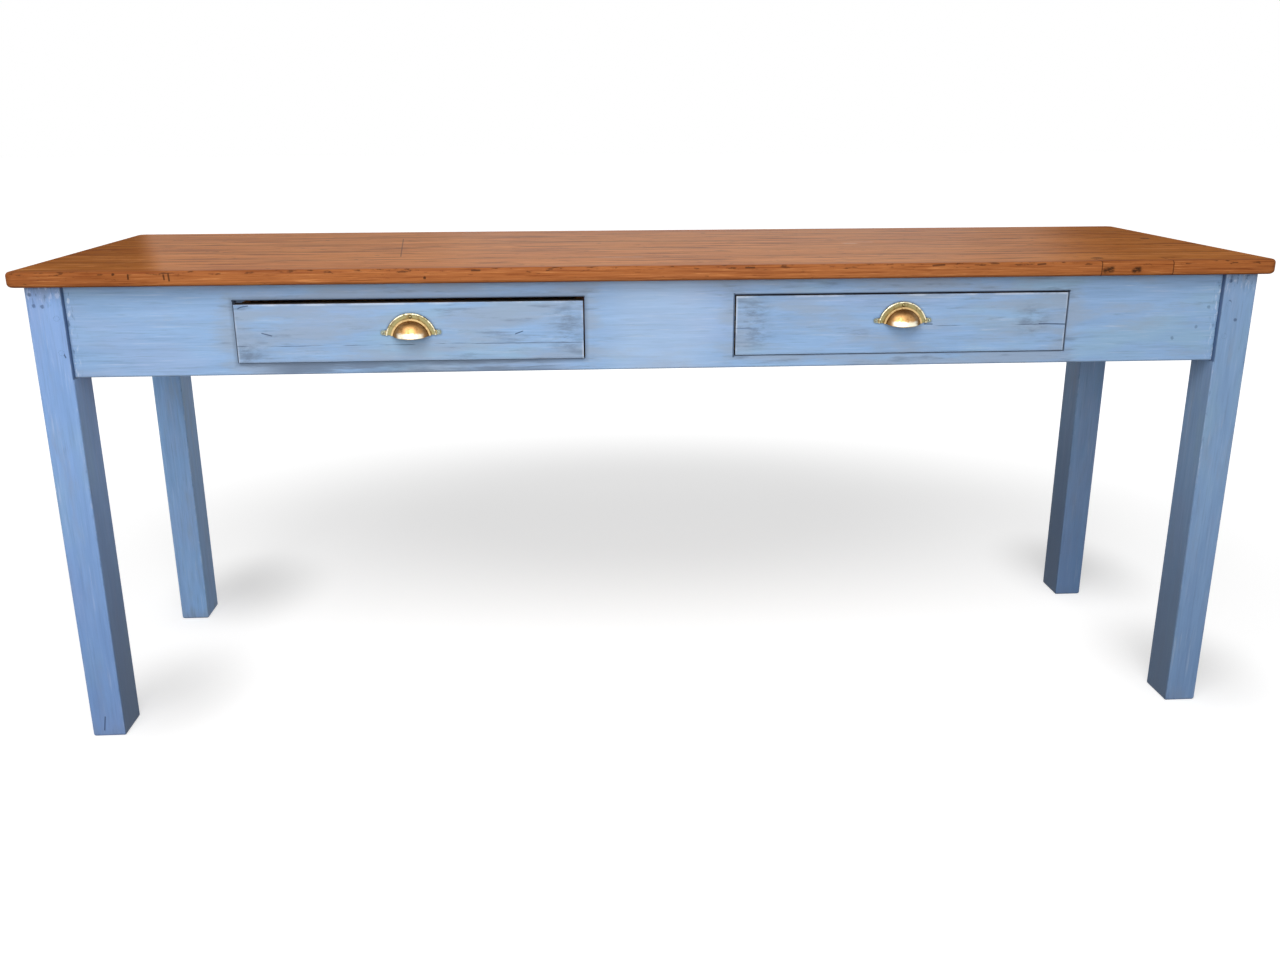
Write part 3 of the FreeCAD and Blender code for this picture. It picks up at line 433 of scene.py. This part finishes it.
def patch_marks(graph, colour, low, high):
    """The dark joints at both ends of the repair, and its knots."""
    joint_width = 2.5 * MM
    knot_width = 7 * MM
    colour = graph.blend(graph.ends(X, low[X], high[X], joint_width), colour, GRIME, 0.9)
    bitten = graph.step(graph.noise((120, 120, 320), detail=4, roughness=0.7), 0.3, 0.55)
    return graph.blend(graph.both(graph.cuts(PATCH_KNOTS, knot_width), bitten), colour, GRIME, 0.9)


def waxed_pine(name, low, high):
    """Orange-brown waxed pine with dark streaks, a painted pale sheen in the middle of the top, and worn on
    its edges.
    """
    wave_depth = 0.6 * MM
    grain_depth = 0.1 * MM
    graph = Graph(name, shift_of(name))
    late, fibre = growth(graph, X, (0, 70, 330), 7)
    streaks = graph.noise((6, 55, 380), detail=4, roughness=0.62)
    back = graph.number("MULTIPLY", graph.axes[Y], SHEEN_LEAN)
    leaning = [graph.number(way, graph.axes[X], back) for way in ("ADD", "SUBTRACT")]
    centre = graph.both(graph.step(leaning[0], SHEEN_FROM[0], SHEEN_FULL[0]),
                        graph.step(leaning[1], SHEEN_FROM[1], SHEEN_FULL[1]))
    colour = waxed_grain(graph, late, fibre, streaks, leaning, centre)
    colour = top_marks(graph, colour, streaks)
    colour = top_edges(graph, colour, low, high)
    if name in ("top_board_front", "top_edge_patch"):
        colour = front_edge_marks(graph, colour)
    if name == "top_edge_patch":
        colour = patch_marks(graph, colour, low, high)
    roughness = graph.between(centre, 0.85, 0.5)
    waves = graph.relief(graph.noise(stretch(X, 3, 14)), wave_depth)
    normal = graph.relief(graph.number("ADD", fibre, late), grain_depth, waves)
    return graph.show(colour, roughness, normal, gloss=0.05)


def paint_wear(graph, axis, near, exposed=1, crease_shade=0.85):
    """Colour, roughness and normal of powder-blue paint, brushed along an axis.

    It is greyed where near is 1, its arrises are worn pale where exposed is 1, and painted shade darkens its
    creases by the last share.
    """
    crease_reach = 4 * MM
    arris_radius = 2.5 * MM
    stroke_depth = 0.12 * MM
    bristle_depth = 0.03 * MM
    strokes = graph.noise(stretch(axis, 6, 75), detail=5, roughness=0.62)
    bristles = graph.noise(stretch(axis, 14, 420), detail=2)
    tint = graph.noise(stretch(axis, 4, 11), detail=3, roughness=0.6)
    drag = graph.noise(stretch(axis, 11, 170), detail=3, roughness=0.6)
    hairs = graph.noise(stretch(axis, 12, 330), detail=4, roughness=0.7)
    smudges = graph.noise(stretch(axis, 7, 34), detail=5, roughness=0.65)
    rubs = graph.noise(stretch(axis, 14, 120), detail=5, roughness=0.65)
    colour = graph.blend(graph.step(strokes, 0.36, 0.66), BLUE, BLUE_DEEP)
    colour = graph.blend(graph.step(tint, 0.5, 0.66), colour, BLUE_LILAC, 0.4)
    colour = graph.blend(graph.step(tint, 0.48, 0.34), colour, BLUE_GREEN, 0.7)
    colour = graph.blend(graph.step(drag, 0.6, 0.76), colour, BLUE_PALE, 0.4)
    colour = graph.blend(graph.step(hairs, 0.5, 0.72), colour, SLATE, 0.3)
    colour = graph.blend(graph.step(hairs, 0.46, 0.28), colour, BLUE_PALE, 0.25)
    smudge = graph.number("MULTIPLY_ADD", near, 0.2, smudges)
    colour = graph.blend(graph.step(smudge, 0.5, 0.8), colour, BLUE_GREY, 0.8)
    rub = graph.number("MULTIPLY_ADD", near, 0.12, rubs)
    colour = graph.blend(graph.step(rub, 0.62, 0.84), colour, SLATE, 0.6)
    # Painted shade in the creases, where the surface is tucked in among its neighbours.
    colour = graph.blend(graph.step(graph.crease(crease_reach), 0.12, 0.5), colour, CREASE, crease_shade)
    edge = graph.both(graph.step(graph.arris(arris_radius), 0.01, 0.15), exposed)
    worn = graph.both(edge, graph.step(graph.noise((45, 45, 45), detail=4), 0.36, 0.56))
    colour = graph.blend(worn, colour, BLUE_PALE, 0.75)
    roughness = graph.between(tint, 0.48, 0.64)
    normal = graph.relief(bristles, bristle_depth, graph.relief(strokes, stroke_depth))
    return colour, roughness, normal


def chips(graph, axis, colour, where):
    """Small pale chips and dark nicks in paint, drawn out along an axis, where that is 1."""
    spots = graph.noise(stretch(axis, 70, 240), detail=3, roughness=0.6)
    pale = graph.both(where, graph.step(spots, 0.56, 0.66))
    dark = graph.both(where, graph.step(spots, 0.42, 0.32))
    return graph.blend(dark, graph.blend(pale, colour, BLUE_PALE, 0.7), CREASE, 0.55)


def leg_paint(name, low, high):
    """Paint brushed up a leg, darker towards its foot from grime and painted shade, with painted shade on its
    inner face and a tint that paints light on one leg and shade on another, chipped and with filled nail
    holes near its head.
    """
    arris_reach = 5 * MM
    foot_full, foot_fade = 5 * MM, 6 * MM
    grey_reach = 35 * MM
    chips_full, chips_fade = 5 * MM, 45 * MM
    face_full, face_fade = MM, 2 * MM
    crease_fade = 3 * MM
    nail_radius = 3 * MM
    cut_width = 1.6 * MM
    graph = Graph(name, shift_of("leg"))
    arris = graph.both(graph.ends(X, low[X], high[X], arris_reach),
                       graph.ends(Y, low[Y], high[Y], arris_reach))
    exposed = graph.either(arris, graph.step(graph.axes[Z], foot_fade, foot_full))
    near = graph.ends(Z, low[Z], high[Z], grey_reach)
    colour, roughness, normal = paint_wear(graph, Z, near, exposed)
    head = graph.step(graph.axes[Z], high[Z] - chips_fade, high[Z] - chips_full)
    colour = chips(graph, Z, colour, graph.either(head, graph.number("MULTIPLY", arris, 0.6)))
    # Painted shade darkens the leg at its head, and more towards its foot, where grime adds to it.
    low_down = graph.step(graph.axes[Z], LEG_DARKENING_HEIGHT, 0)
    colour = graph.blend(graph.between(low_down, *LEG_SHADE_AND_GRIME[name]), colour, BLUE_GRIME_AND_SHADE)
    # Painted light on the back-left leg, painted shade on the front-right; the front-left is made bluer.
    colour = graph.vector("MULTIPLY", colour, LEG_TINTS_AND_LIGHT[name])
    inner = min(low[X], high[X], key=abs)
    off_inner = graph.number("ABSOLUTE", graph.number("SUBTRACT", graph.axes[X], inner))
    # Painted shade on the inner face, deeper towards the foot.
    inner_face = graph.step(off_inner, face_fade, face_full)
    colour = graph.blend(inner_face, colour, BLUE_GRIME_AND_SHADE, 0.1)
    colour = graph.blend(graph.both(inner_face, low_down), colour, BLUE_INNER_SHADE, LEG_INNER_SHADE[name])
    apron_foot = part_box("apron_back")[0][Z]
    # More painted shade on the inner face beside the apron.
    beside = graph.both(inner_face, graph.step(graph.axes[Z], apron_foot - crease_fade, apron_foot))
    colour = graph.blend(beside, colour, CREASE, 0.75)
    colour = graph.blend(graph.dots(LEG_NAILS, nail_radius), colour, CREASE, 0.6)
    colour = graph.blend(graph.cuts(LEG_CUTS, cut_width), colour, CREASE, 0.8)
    return graph.show(colour, roughness, normal, gloss=PAINT_GLOSS)


def peg_paint(name):
    """The legs' paint, each peg with the painted head shade and the tint of painted light and shade of the
    leg that it sits in.
    """
    leg_full, leg_fade = 0.1, 0.2
    graph = Graph(name, shift_of("leg"))
    paint, roughness, normal = paint_wear(graph, Z, 0, 0)
    on_plan = graph.vector("MULTIPLY", graph.place, (1, 1, 0))
    colour = paint
    for leg, tint in LEG_TINTS_AND_LIGHT.items():
        low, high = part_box(leg)
        middle = (low + high) / 2
        far = graph.vector("DISTANCE", on_plan, (middle[X], middle[Y], 0))
        coat = graph.blend(1, paint, BLUE_GRIME_AND_SHADE, LEG_SHADE_AND_GRIME[leg][0])
        tinted = graph.vector("MULTIPLY", coat, tint)
        colour = graph.blend(graph.step(far, leg_fade, leg_full), colour, tinted)
    return graph.show(colour, roughness, normal, gloss=PAINT_GLOSS)


def opening_shade(graph, colour, off, across, foot):
    """Grey painted shadow of the ajar left drawer round its opening and along the rail below it."""
    rim_reach = 8 * MM
    rail_reach = 3 * MM
    # Across the opening, distances from its sides are negative.
    fade_from, fade_full = -5 * MM, -90 * MM
    on_left = graph.step(graph.axes[X], MM, -MM)
    shade = graph.both(on_left, graph.step(off, rim_reach, 0))
    colour = graph.blend(shade, colour, SLATE, 0.5)
    patchy = graph.step(graph.noise((9, 9, 120), detail=4, roughness=0.6), 0.28, 0.6)
    under = graph.both(on_left, graph.step(graph.axes[Z], foot, foot - rail_reach))
    under = graph.both(under, graph.step(across, fade_from, fade_full))
    return graph.blend(graph.both(under, patchy), colour, SLATE, 0.85)


def opening_lines(graph, colour, off, side, inside, head):
    """The gaps round the drawers, as painted shade on the faces beside them: wide beside the right drawer's
    left end, firm there and above both drawers.

    Faces inside the openings are painted dark as shade where the gap is firm, and paler elsewhere.
    """
    widening = 1.2 * MM
    line_fade, line_full = 1.6 * MM, 0.5 * MM
    head_fade, head_full = 2 * MM, MM
    wide = graph.both(graph.step(graph.axes[X], 0, MM), graph.step(side, inside + MM, inside))
    # Painted shade: dark lines on the faces beside the gaps.
    line = graph.step(graph.number("MULTIPLY_ADD", wide, -widening, off), line_fade, line_full)
    firm = graph.either(wide, graph.step(graph.axes[Z], head - head_fade, head - head_full))
    gap = graph.blend(firm, GAP_SHADE_SOFT, GAP_SHADE)
    colour = graph.blend(graph.both(line, graph.between(firm, 0.3, 0.8)), colour, gap)
    # Faces inside the openings are painted dark as shade where the gap is firm.
    bare = graph.number("SUBTRACT", 1, graph.facing(Y))
    return graph.blend(bare, colour, graph.blend(firm, JAMB, GAP_SHADE))


def front_paint(name):
    """Paint brushed straight across the panels and rails of the front, greyed round the drawers, with painted
    shadow and shade round the openings and along each piece's foot, and painted light on the centre panel.
    """
    grey_reach = 45 * MM
    chips_full, chips_fade = 2 * MM, 16 * MM
    sill_full, sill_fade = MM, 3 * MM
    nail_radius = 3 * MM
    graph = Graph(name, shift_of("front"))
    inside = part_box("front_panel_centre")[1][X]
    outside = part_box("front_panel_right")[0][X]
    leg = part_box("leg_front_right")[0][X]
    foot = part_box("rail_below_right_drawer")[1][Z]
    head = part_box("rail_above_right_drawer")[0][Z]
    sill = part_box(name)[0][Z]
    side = graph.number("ABSOLUTE", graph.axes[X])
    across = graph.number("MAXIMUM", graph.number("SUBTRACT", inside, side),
                          graph.number("SUBTRACT", side, outside))
    upward = graph.number("MAXIMUM", graph.number("SUBTRACT", foot, graph.axes[Z]),
                          graph.number("SUBTRACT", graph.axes[Z], head))
    off = graph.number("MAXIMUM", across, upward)
    # Rails are greyed all over, partly as grime and partly as painted shade.
    near = graph.either(graph.step(off, grey_reach, 0), RAIL_GREY if name.startswith("rail_") else 0)
    colour, roughness, normal = paint_wear(graph, X, near, 0, 0.4)
    # Painted light: the centre panel is paler towards its middle.
    colour = graph.blend(graph.step(side, inside, 0.3 * inside), colour, BLUE_PALE, 0.2)
    colour = chips(graph, Z, colour, graph.step(side, leg - chips_fade, leg - chips_full))
    colour = opening_shade(graph, colour, off, across, foot)
    # Painted shade along the foot of each piece.
    colour = graph.blend(graph.step(graph.axes[Z], sill + sill_fade, sill + sill_full), colour, SLATE, 0.6)
    colour = graph.blend(graph.dots(APRON_NAILS, nail_radius), colour, CREASE, 0.4)
    colour = opening_lines(graph, colour, off, side, inside, head)
    return graph.show(colour, roughness, normal, gloss=PAINT_GLOSS)


def drawer_paint(name, low, high, greys, crack_height, cuts, stains):
    """Paint on a drawer's face, greyed by hands, with a long crack, pale at its head and ends from wear and a
    painted highlight, and painted shade along its foot. Its edges are bare and dirty, and painted nearly
    black as the shade in the gaps.
    """
    right_end = 60 * MM
    grey_reach = 75 * MM
    stain_radius, stain_bites, stain_blur = 24 * MM, 50, 0.8
    head_full, head_fade = 2 * MM, 4 * MM
    end_reach = 4 * MM
    foot_full, foot_fade = MM, 4 * MM
    crack_width, crack_wander, crack_depth = 0.8 * MM, 5 * MM, 0.6 * MM
    cut_width = 1.1 * MM
    graph = Graph(name, shift_of(name))
    rightward = graph.step(graph.axes[X], (low[X] + high[X]) / 2, high[X] - right_end)
    near = graph.either(graph.ends(X, low[X], high[X], grey_reach), graph.between(rightward, *greys))
    colour, roughness, normal = paint_wear(graph, X, near, 0.6)
    blotches = graph.step(graph.noise((34, 34, 120), detail=5, roughness=0.7), 0.36, 0.66)
    stain = graph.both(graph.dots(stains, stain_radius, stain_bites, stain_blur), blotches)
    colour = graph.blend(stain, colour, SLATE, 0.75)
    # Pale at its head and ends, partly worn paint and partly a painted highlight.
    lit = graph.either(graph.step(graph.axes[Z], high[Z] - head_fade, high[Z] - head_full),
                       graph.ends(X, low[X], high[X], end_reach))
    patchy = graph.step(graph.noise((18, 18, 18), detail=4, roughness=0.6), 0.4, 0.6)
    colour = graph.blend(graph.both(lit, patchy), colour, BLUE_PALE, 0.65)
    # Painted shade along its foot.
    foot = graph.step(graph.axes[Z], low[Z] + foot_fade, low[Z] + foot_full)
    colour = graph.blend(foot, colour, SLATE, 0.3)
    open_share = graph.number("MULTIPLY_ADD", near, 0.3, graph.noise(stretch(X, 14, 0)))
    crack = graph.both(graph.line(X, Z, crack_height * MM, crack_width, crack_wander),
                       graph.step(open_share, 0.62, 0.76))
    colour = graph.blend(crack, colour, CREASE, 0.5)
    scratched = graph.cuts(cuts, cut_width)
    colour = graph.blend(scratched, colour, CREASE, 0.75)
    # Its edges are dirty bare wood, painted nearly black as the shade in the gaps.
    bare = graph.number("SUBTRACT", 1, graph.facing(Y))
    dirt = graph.step(graph.noise((8, 40, 40), detail=4, roughness=0.6), 0.4, 0.7)
    colour = graph.blend(bare, colour, graph.blend(dirt, RAW_EDGE_AND_SHADE, BARE_DARK, 0.3))
    sound = graph.number("SUBTRACT", 1, graph.either(crack, scratched))
    return graph.show(colour, roughness, graph.relief(sound, crack_depth, normal), gloss=PAINT_GLOSS)


def apron_paint(name, low, high):
    """Paint brushed along the back and the two ends."""
    grey_reach = 60 * MM
    graph = Graph(name, shift_of(name))
    axis = longest(low, high)
    near = graph.ends(axis, low[axis], high[axis], grey_reach)
    return graph.show(*paint_wear(graph, axis, near), gloss=PAINT_GLOSS)


def bare_pine(name, low, high):
    """Unfinished pine, browned by age and grubby along its arrises."""
    arris_radius = 4 * MM
    grain_depth = 0.2 * MM
    graph = Graph(name, shift_of(name))
    axis = longest(low, high)
    late, fibre = growth(graph, axis, stretch(axis, 0, 130), 6)
    cloud = graph.noise(stretch(axis, 2, 14), detail=3)
    colour = graph.blend(graph.step(cloud, 0.3, 0.7), BARE_LIGHT, BARE_MID)
    colour = graph.blend(late, colour, BARE_DARK, 0.5)
    colour = graph.blend(graph.step(fibre, 0.55, 0.8), colour, BARE_DARK, 0.35)
    grubby = graph.both(graph.step(graph.arris(arris_radius), 0.01, 0.2),
                        graph.step(graph.noise((30, 30, 30)), 0.4, 0.65))
    colour = graph.blend(grubby, colour, GRIME, 0.4)
    roughness = graph.between(fibre, 0.6, 0.85)
    normal = graph.relief(graph.number("ADD", fibre, late), grain_depth)
    return graph.show(colour, roughness, normal, gloss=0.3)


def cup_colour(graph, patina, aside, low):
    """The hood's gold, brown up high and to the sides, and the mask of its lip, a painted white reflection in
    patches.
    """
    brown_from, brown_full = 17 * MM, 28 * MM
    aside_from, aside_full = 15 * MM, 25 * MM
    lip_full, lip_fade = 9 * MM, 12 * MM
    lip_half, lip_half_fade = 16 * MM, 22 * MM
    wander = 5 * MM
    rise = graph.number("MULTIPLY_ADD", patina, wander, graph.number("SUBTRACT", graph.axes[Z], low[Z]))
    colour = graph.blend(graph.step(rise, brown_from, brown_full), BRASS_GOLD, BRASS_BROWN, 0.75)
    colour = graph.blend(graph.step(aside, aside_from, aside_full), colour, BRASS_BROWN, 0.5)
    # Painted reflection: the lip nearly white, in patches.
    lip = graph.both(graph.step(rise, lip_fade, lip_full), graph.step(aside, lip_half_fade, lip_half))
    reflection_patches = graph.step(graph.noise((150, 60, 240), detail=3, roughness=0.6), 0.3, 0.5)
    lip = graph.both(lip, graph.between(reflection_patches, 0.6, 1))
    return graph.blend(lip, colour, BRASS_WHITE), lip


def flange_colour(graph, colour, aside, middle):
    """The arcs round the hood: dark line at its foot, tan step, olive channel, pale bead and grey ears."""
    radius = graph.vector("DISTANCE", graph.vector("MULTIPLY", graph.place, (1, 0, 1)), middle)
    # In millimetres, as the arcs are.
    blur, fade, shadow = 0.4, 1, 1.2

    def ring(inner, outer):
        return graph.both(graph.step(radius, (inner - blur) * MM, (inner + blur) * MM),
                          graph.step(radius, (outer + blur) * MM, (outer - blur) * MM))

    colour = graph.blend(ring(PULL_DOME - shadow, PULL_DOME), colour, BRASS_BROWN, 0.8)
    colour = graph.blend(ring(PULL_DOME, PULL_STEP), colour, BRASS_TAN)
    colour = graph.blend(ring(PULL_STEP, PULL_RIM), colour, BRASS_OLIVE)
    # Painted highlights on the bead, in patches.
    bright = graph.step(graph.noise((210, 60, 210), detail=3, roughness=0.6), 0.36, 0.56)
    colour = graph.blend(graph.both(ring(PULL_BEAD, PULL_RIM), bright), colour, BRASS_PALE)
    rim, past_rim = PULL_RIM * MM, (PULL_RIM + fade) * MM
    colour = graph.blend(graph.step(radius, rim, past_rim), colour, BRASS_OLIVE)
    return graph.blend(graph.step(aside, rim, past_rim), colour, BRASS_EAR, 0.9)


def brass(name, low, high):
    """Cast brass: bright with painted highlights on its bead, with a painted white reflection on its lip,
    dull in its channel and on its ears.
    """
    foot_full, foot_fade = 0.8 * MM, 1.6 * MM
    crease_reach = 5 * MM
    scratch_depth = 0.03 * MM
    graph = Graph(name, shift_of(name))
    middle = ((low[X] + high[X]) / 2, 0, high[Z] - PULL_RIM * MM)
    patina = graph.noise((170, 170, 170), detail=4, roughness=0.6)
    scratches = graph.noise((1400, 60, 200), detail=2)
    aside = graph.number("ABSOLUTE", graph.number("SUBTRACT", graph.axes[X], middle[0]))
    colour, lip = cup_colour(graph, patina, aside, low)
    colour = flange_colour(graph, colour, aside, middle)
    tarnish = graph.both(graph.step(patina, 0.5, 0.68), graph.number("SUBTRACT", 1, lip))
    colour = graph.blend(tarnish, colour, BRASS_BROWN, 0.55)
    foot = graph.step(graph.number("SUBTRACT", graph.axes[Z], low[Z]), foot_fade, foot_full)
    colour = graph.blend(foot, colour, BRASS_BROWN, 0.8)
    colour = graph.blend(graph.step(graph.crease(crease_reach), 0.3, 0.8), colour, BRASS_BROWN, 0.8)
    roughness = graph.between(patina, 0.3, 0.5)
    return graph.show(colour, roughness, graph.relief(scratches, scratch_depth), metallic=1)


def steel(name):
    """Dull steel with spots of rust."""
    pit_depth = 0.1 * MM
    graph = Graph(name, shift_of(name))
    spots = graph.noise((260, 260, 260), detail=4, roughness=0.7)
    rust = graph.step(spots, 0.48, 0.66)
    colour = graph.blend(rust, STEEL_GREY, STEEL_RUST)
    roughness = graph.between(rust, 0.38, 0.85)
    return graph.show(colour, roughness, graph.relief(spots, pit_depth), metallic=0.7)


def finish_for(name):
    """The material for a node, by what its name says it is."""
    low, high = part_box(name)
    if name.startswith("top_"):
        return waxed_pine(name, low, high)
    if name.startswith("leg_"):
        return leg_paint(name, low, high)
    if name.startswith(("front_panel_", "rail_")):
        return front_paint(name)
    if name in DRAWER_MARKS:
        return drawer_paint(name, low, high, **DRAWER_MARKS[name])
    if name == "joint_pegs":
        return peg_paint(name)
    if name.startswith("apron_"):
        return apron_paint(name, low, high)
    if name.endswith(("_pull", "_pull_screws")):
        return brass(name, *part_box(name.removesuffix("_screws")))
    if name.endswith(("_nails", "_screws")):
        return steel(name)
    return bare_pine(name, low, high)


def dress(name):
    """Puts a node's finish in its material slots."""
    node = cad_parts[name]
    if not node.material_slots:
        node.data.materials.append(None)
    material = finish_for(name)
    for place in node.material_slots:
        place.material = material


def mesh_object(name, points, faces, material):
    mesh = bpy.data.meshes.new(name)
    mesh.from_pydata(points, [], faces)
    mesh.materials.append(material)
    made = bpy.data.objects.new(name, mesh)
    bpy.context.scene.collection.objects.link(made)
    return made


def seen_share(nodes, links):
    """1 for rays that show a surface as seen or mirrored, and 0 for rays that gather light."""
    path = nodes.new("ShaderNodeLightPath")
    share = path.outputs["Is Camera Ray"]
    for kind in ("Is Glossy Ray", "Is Transmission Ray"):
        either = nodes.new("ShaderNodeMath")
        either.operation = "MAXIMUM"
        links.new(share, either.inputs[0])
        links.new(path.outputs[kind], either.inputs[1])
        share = either.outputs[0]
    return share


def scaled(nodes, links, share, low, high):
    """A strength from low to high."""
    node = nodes.new("ShaderNodeMath")
    node.operation = "MULTIPLY_ADD"
    links.new(share, node.inputs[0])
    node.inputs[1].default_value = high - low
    node.inputs[2].default_value = low
    return node.outputs[0]


def pale_floor():
    """A wide white floor that keeps the table's shadow, with painted shadow most under its back and beside
    its feet.

    It glows a little to rays that show it, less where the shadow is painted, so that its lit part is as white
    as the room.
    """
    half_side = 30
    albedo = 0.5
    shade_middle, shade_size = (0.05, 0.85, 0), (1.3, 0.85, 1)
    foot_shift, foot_size = (0.07, 0.12, 0), (0.2, 0.28, 1)
    shade_core, shade_rim = 0.3, 1.1
    shade_lift, open_lift, foot_drop = 0.58, 0.78, 0.25
    white_from, white_full = 1.2, 2.6
    graph = Graph("floor")
    graph.nodes.remove(graph.shader)

    def away(middle, size):
        offset = graph.vector("SUBTRACT", graph.place, tuple(middle))
        return graph.vector("LENGTH", graph.vector("DIVIDE", offset, size))

    # Painted shadow: the glow is lowered under the table's back and beside each foot.
    outward = graph.step(away(shade_middle, shade_size), shade_core, shade_rim)
    lift = graph.between(outward, shade_lift, open_lift)
    for foot in ("leg_front_left", "leg_front_right", "leg_back_left", "leg_back_right"):
        low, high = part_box(foot)
        spot = (low + high) / 2 * Vector((1, 1, 0)) + Vector(foot_shift)
        near = graph.step(away(spot, foot_size), 1, 0)
        lift = graph.number("SUBTRACT", lift, graph.number("MULTIPLY", near, foot_drop))
    far = graph.step(graph.vector("LENGTH", graph.place), white_from, white_full)
    lift = graph.number("MULTIPLY_ADD", far, graph.number("SUBTRACT", 1, lift), lift)
    matt = graph.nodes.new("ShaderNodeBsdfDiffuse")
    matt.inputs["Color"].default_value = (albedo, albedo, albedo, 1)
    glow = graph.nodes.new("ShaderNodeEmission")
    strength = graph.number("MULTIPLY", lift, seen_share(graph.nodes, graph.links))
    graph.links.new(strength, glow.inputs["Strength"])
    both = graph.nodes.new("ShaderNodeAddShader")
    graph.links.new(matt.outputs[0], both.inputs[0])
    graph.links.new(glow.outputs[0], both.inputs[1])
    output = next(node for node in graph.nodes if node.type == "OUTPUT_MATERIAL")
    graph.links.new(both.outputs[0], output.inputs["Surface"])
    corners = [(-half_side, -half_side, 0), (half_side, -half_side, 0),
               (half_side, half_side, 0), (-half_side, half_side, 0)]
    mesh_object("floor", corners, [(0, 1, 2, 3)], graph.material)


def white_world():
    """A white room, dimmer for the light that it sheds than it looks."""
    ambient = 0.2
    world = bpy.data.worlds.new("room")
    world.use_nodes = True
    nodes, links = world.node_tree.nodes, world.node_tree.links
    nodes.clear()
    room = nodes.new("ShaderNodeBackground")
    room.inputs["Color"].default_value = (1, 1, 1, 1)
    links.new(scaled(nodes, links, seen_share(nodes, links), ambient, 1), room.inputs["Strength"])
    output = nodes.new("ShaderNodeOutputWorld")
    links.new(room.outputs[0], output.inputs["Surface"])
    bpy.context.scene.world = world


def softbox(name, place, target, size, watts):
    lamp = bpy.data.lights.new(name, "AREA")
    lamp.shape = "RECTANGLE"
    lamp.size, lamp.size_y = size
    lamp.energy = watts
    made = bpy.data.objects.new(name, lamp)
    made.location = place
    made.rotation_euler = (Vector(target) - Vector(place)).to_track_quat("-Z", "Y").to_euler()
    bpy.context.scene.collection.objects.link(made)


def photo_camera():
    yaw, pitch, roll = (math.radians(angle) for angle in (CAMERA_YAW, CAMERA_PITCH, CAMERA_ROLL))
    ahead = Vector((math.sin(yaw) * math.cos(pitch), math.cos(yaw) * math.cos(pitch), math.sin(pitch)))
    level = Vector((math.cos(yaw), -math.sin(yaw), 0))
    upright = level.cross(ahead)
    right = math.cos(roll) * level + math.sin(roll) * upright
    up = math.cos(roll) * upright - math.sin(roll) * level
    camera = bpy.data.cameras.new("camera")
    camera.sensor_fit = "HORIZONTAL"
    camera.sensor_width = SENSOR_WIDTH
    camera.lens = SENSOR_WIDTH * FOCAL_PIXELS / IMAGE_WIDTH
    made = bpy.data.objects.new("camera", camera)
    made.matrix_world = Matrix.Translation(CAMERA_PLACE) @ Matrix((right, up, -ahead)).transposed().to_4x4()
    bpy.context.scene.collection.objects.link(made)
    bpy.context.scene.camera = made


for node_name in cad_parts:
    dress(node_name)
pale_floor()
white_world()
for lamp_name, values in LAMPS.items():
    softbox(lamp_name, *values)
photo_camera()
bpy.context.scene.view_settings.view_transform = "Standard"
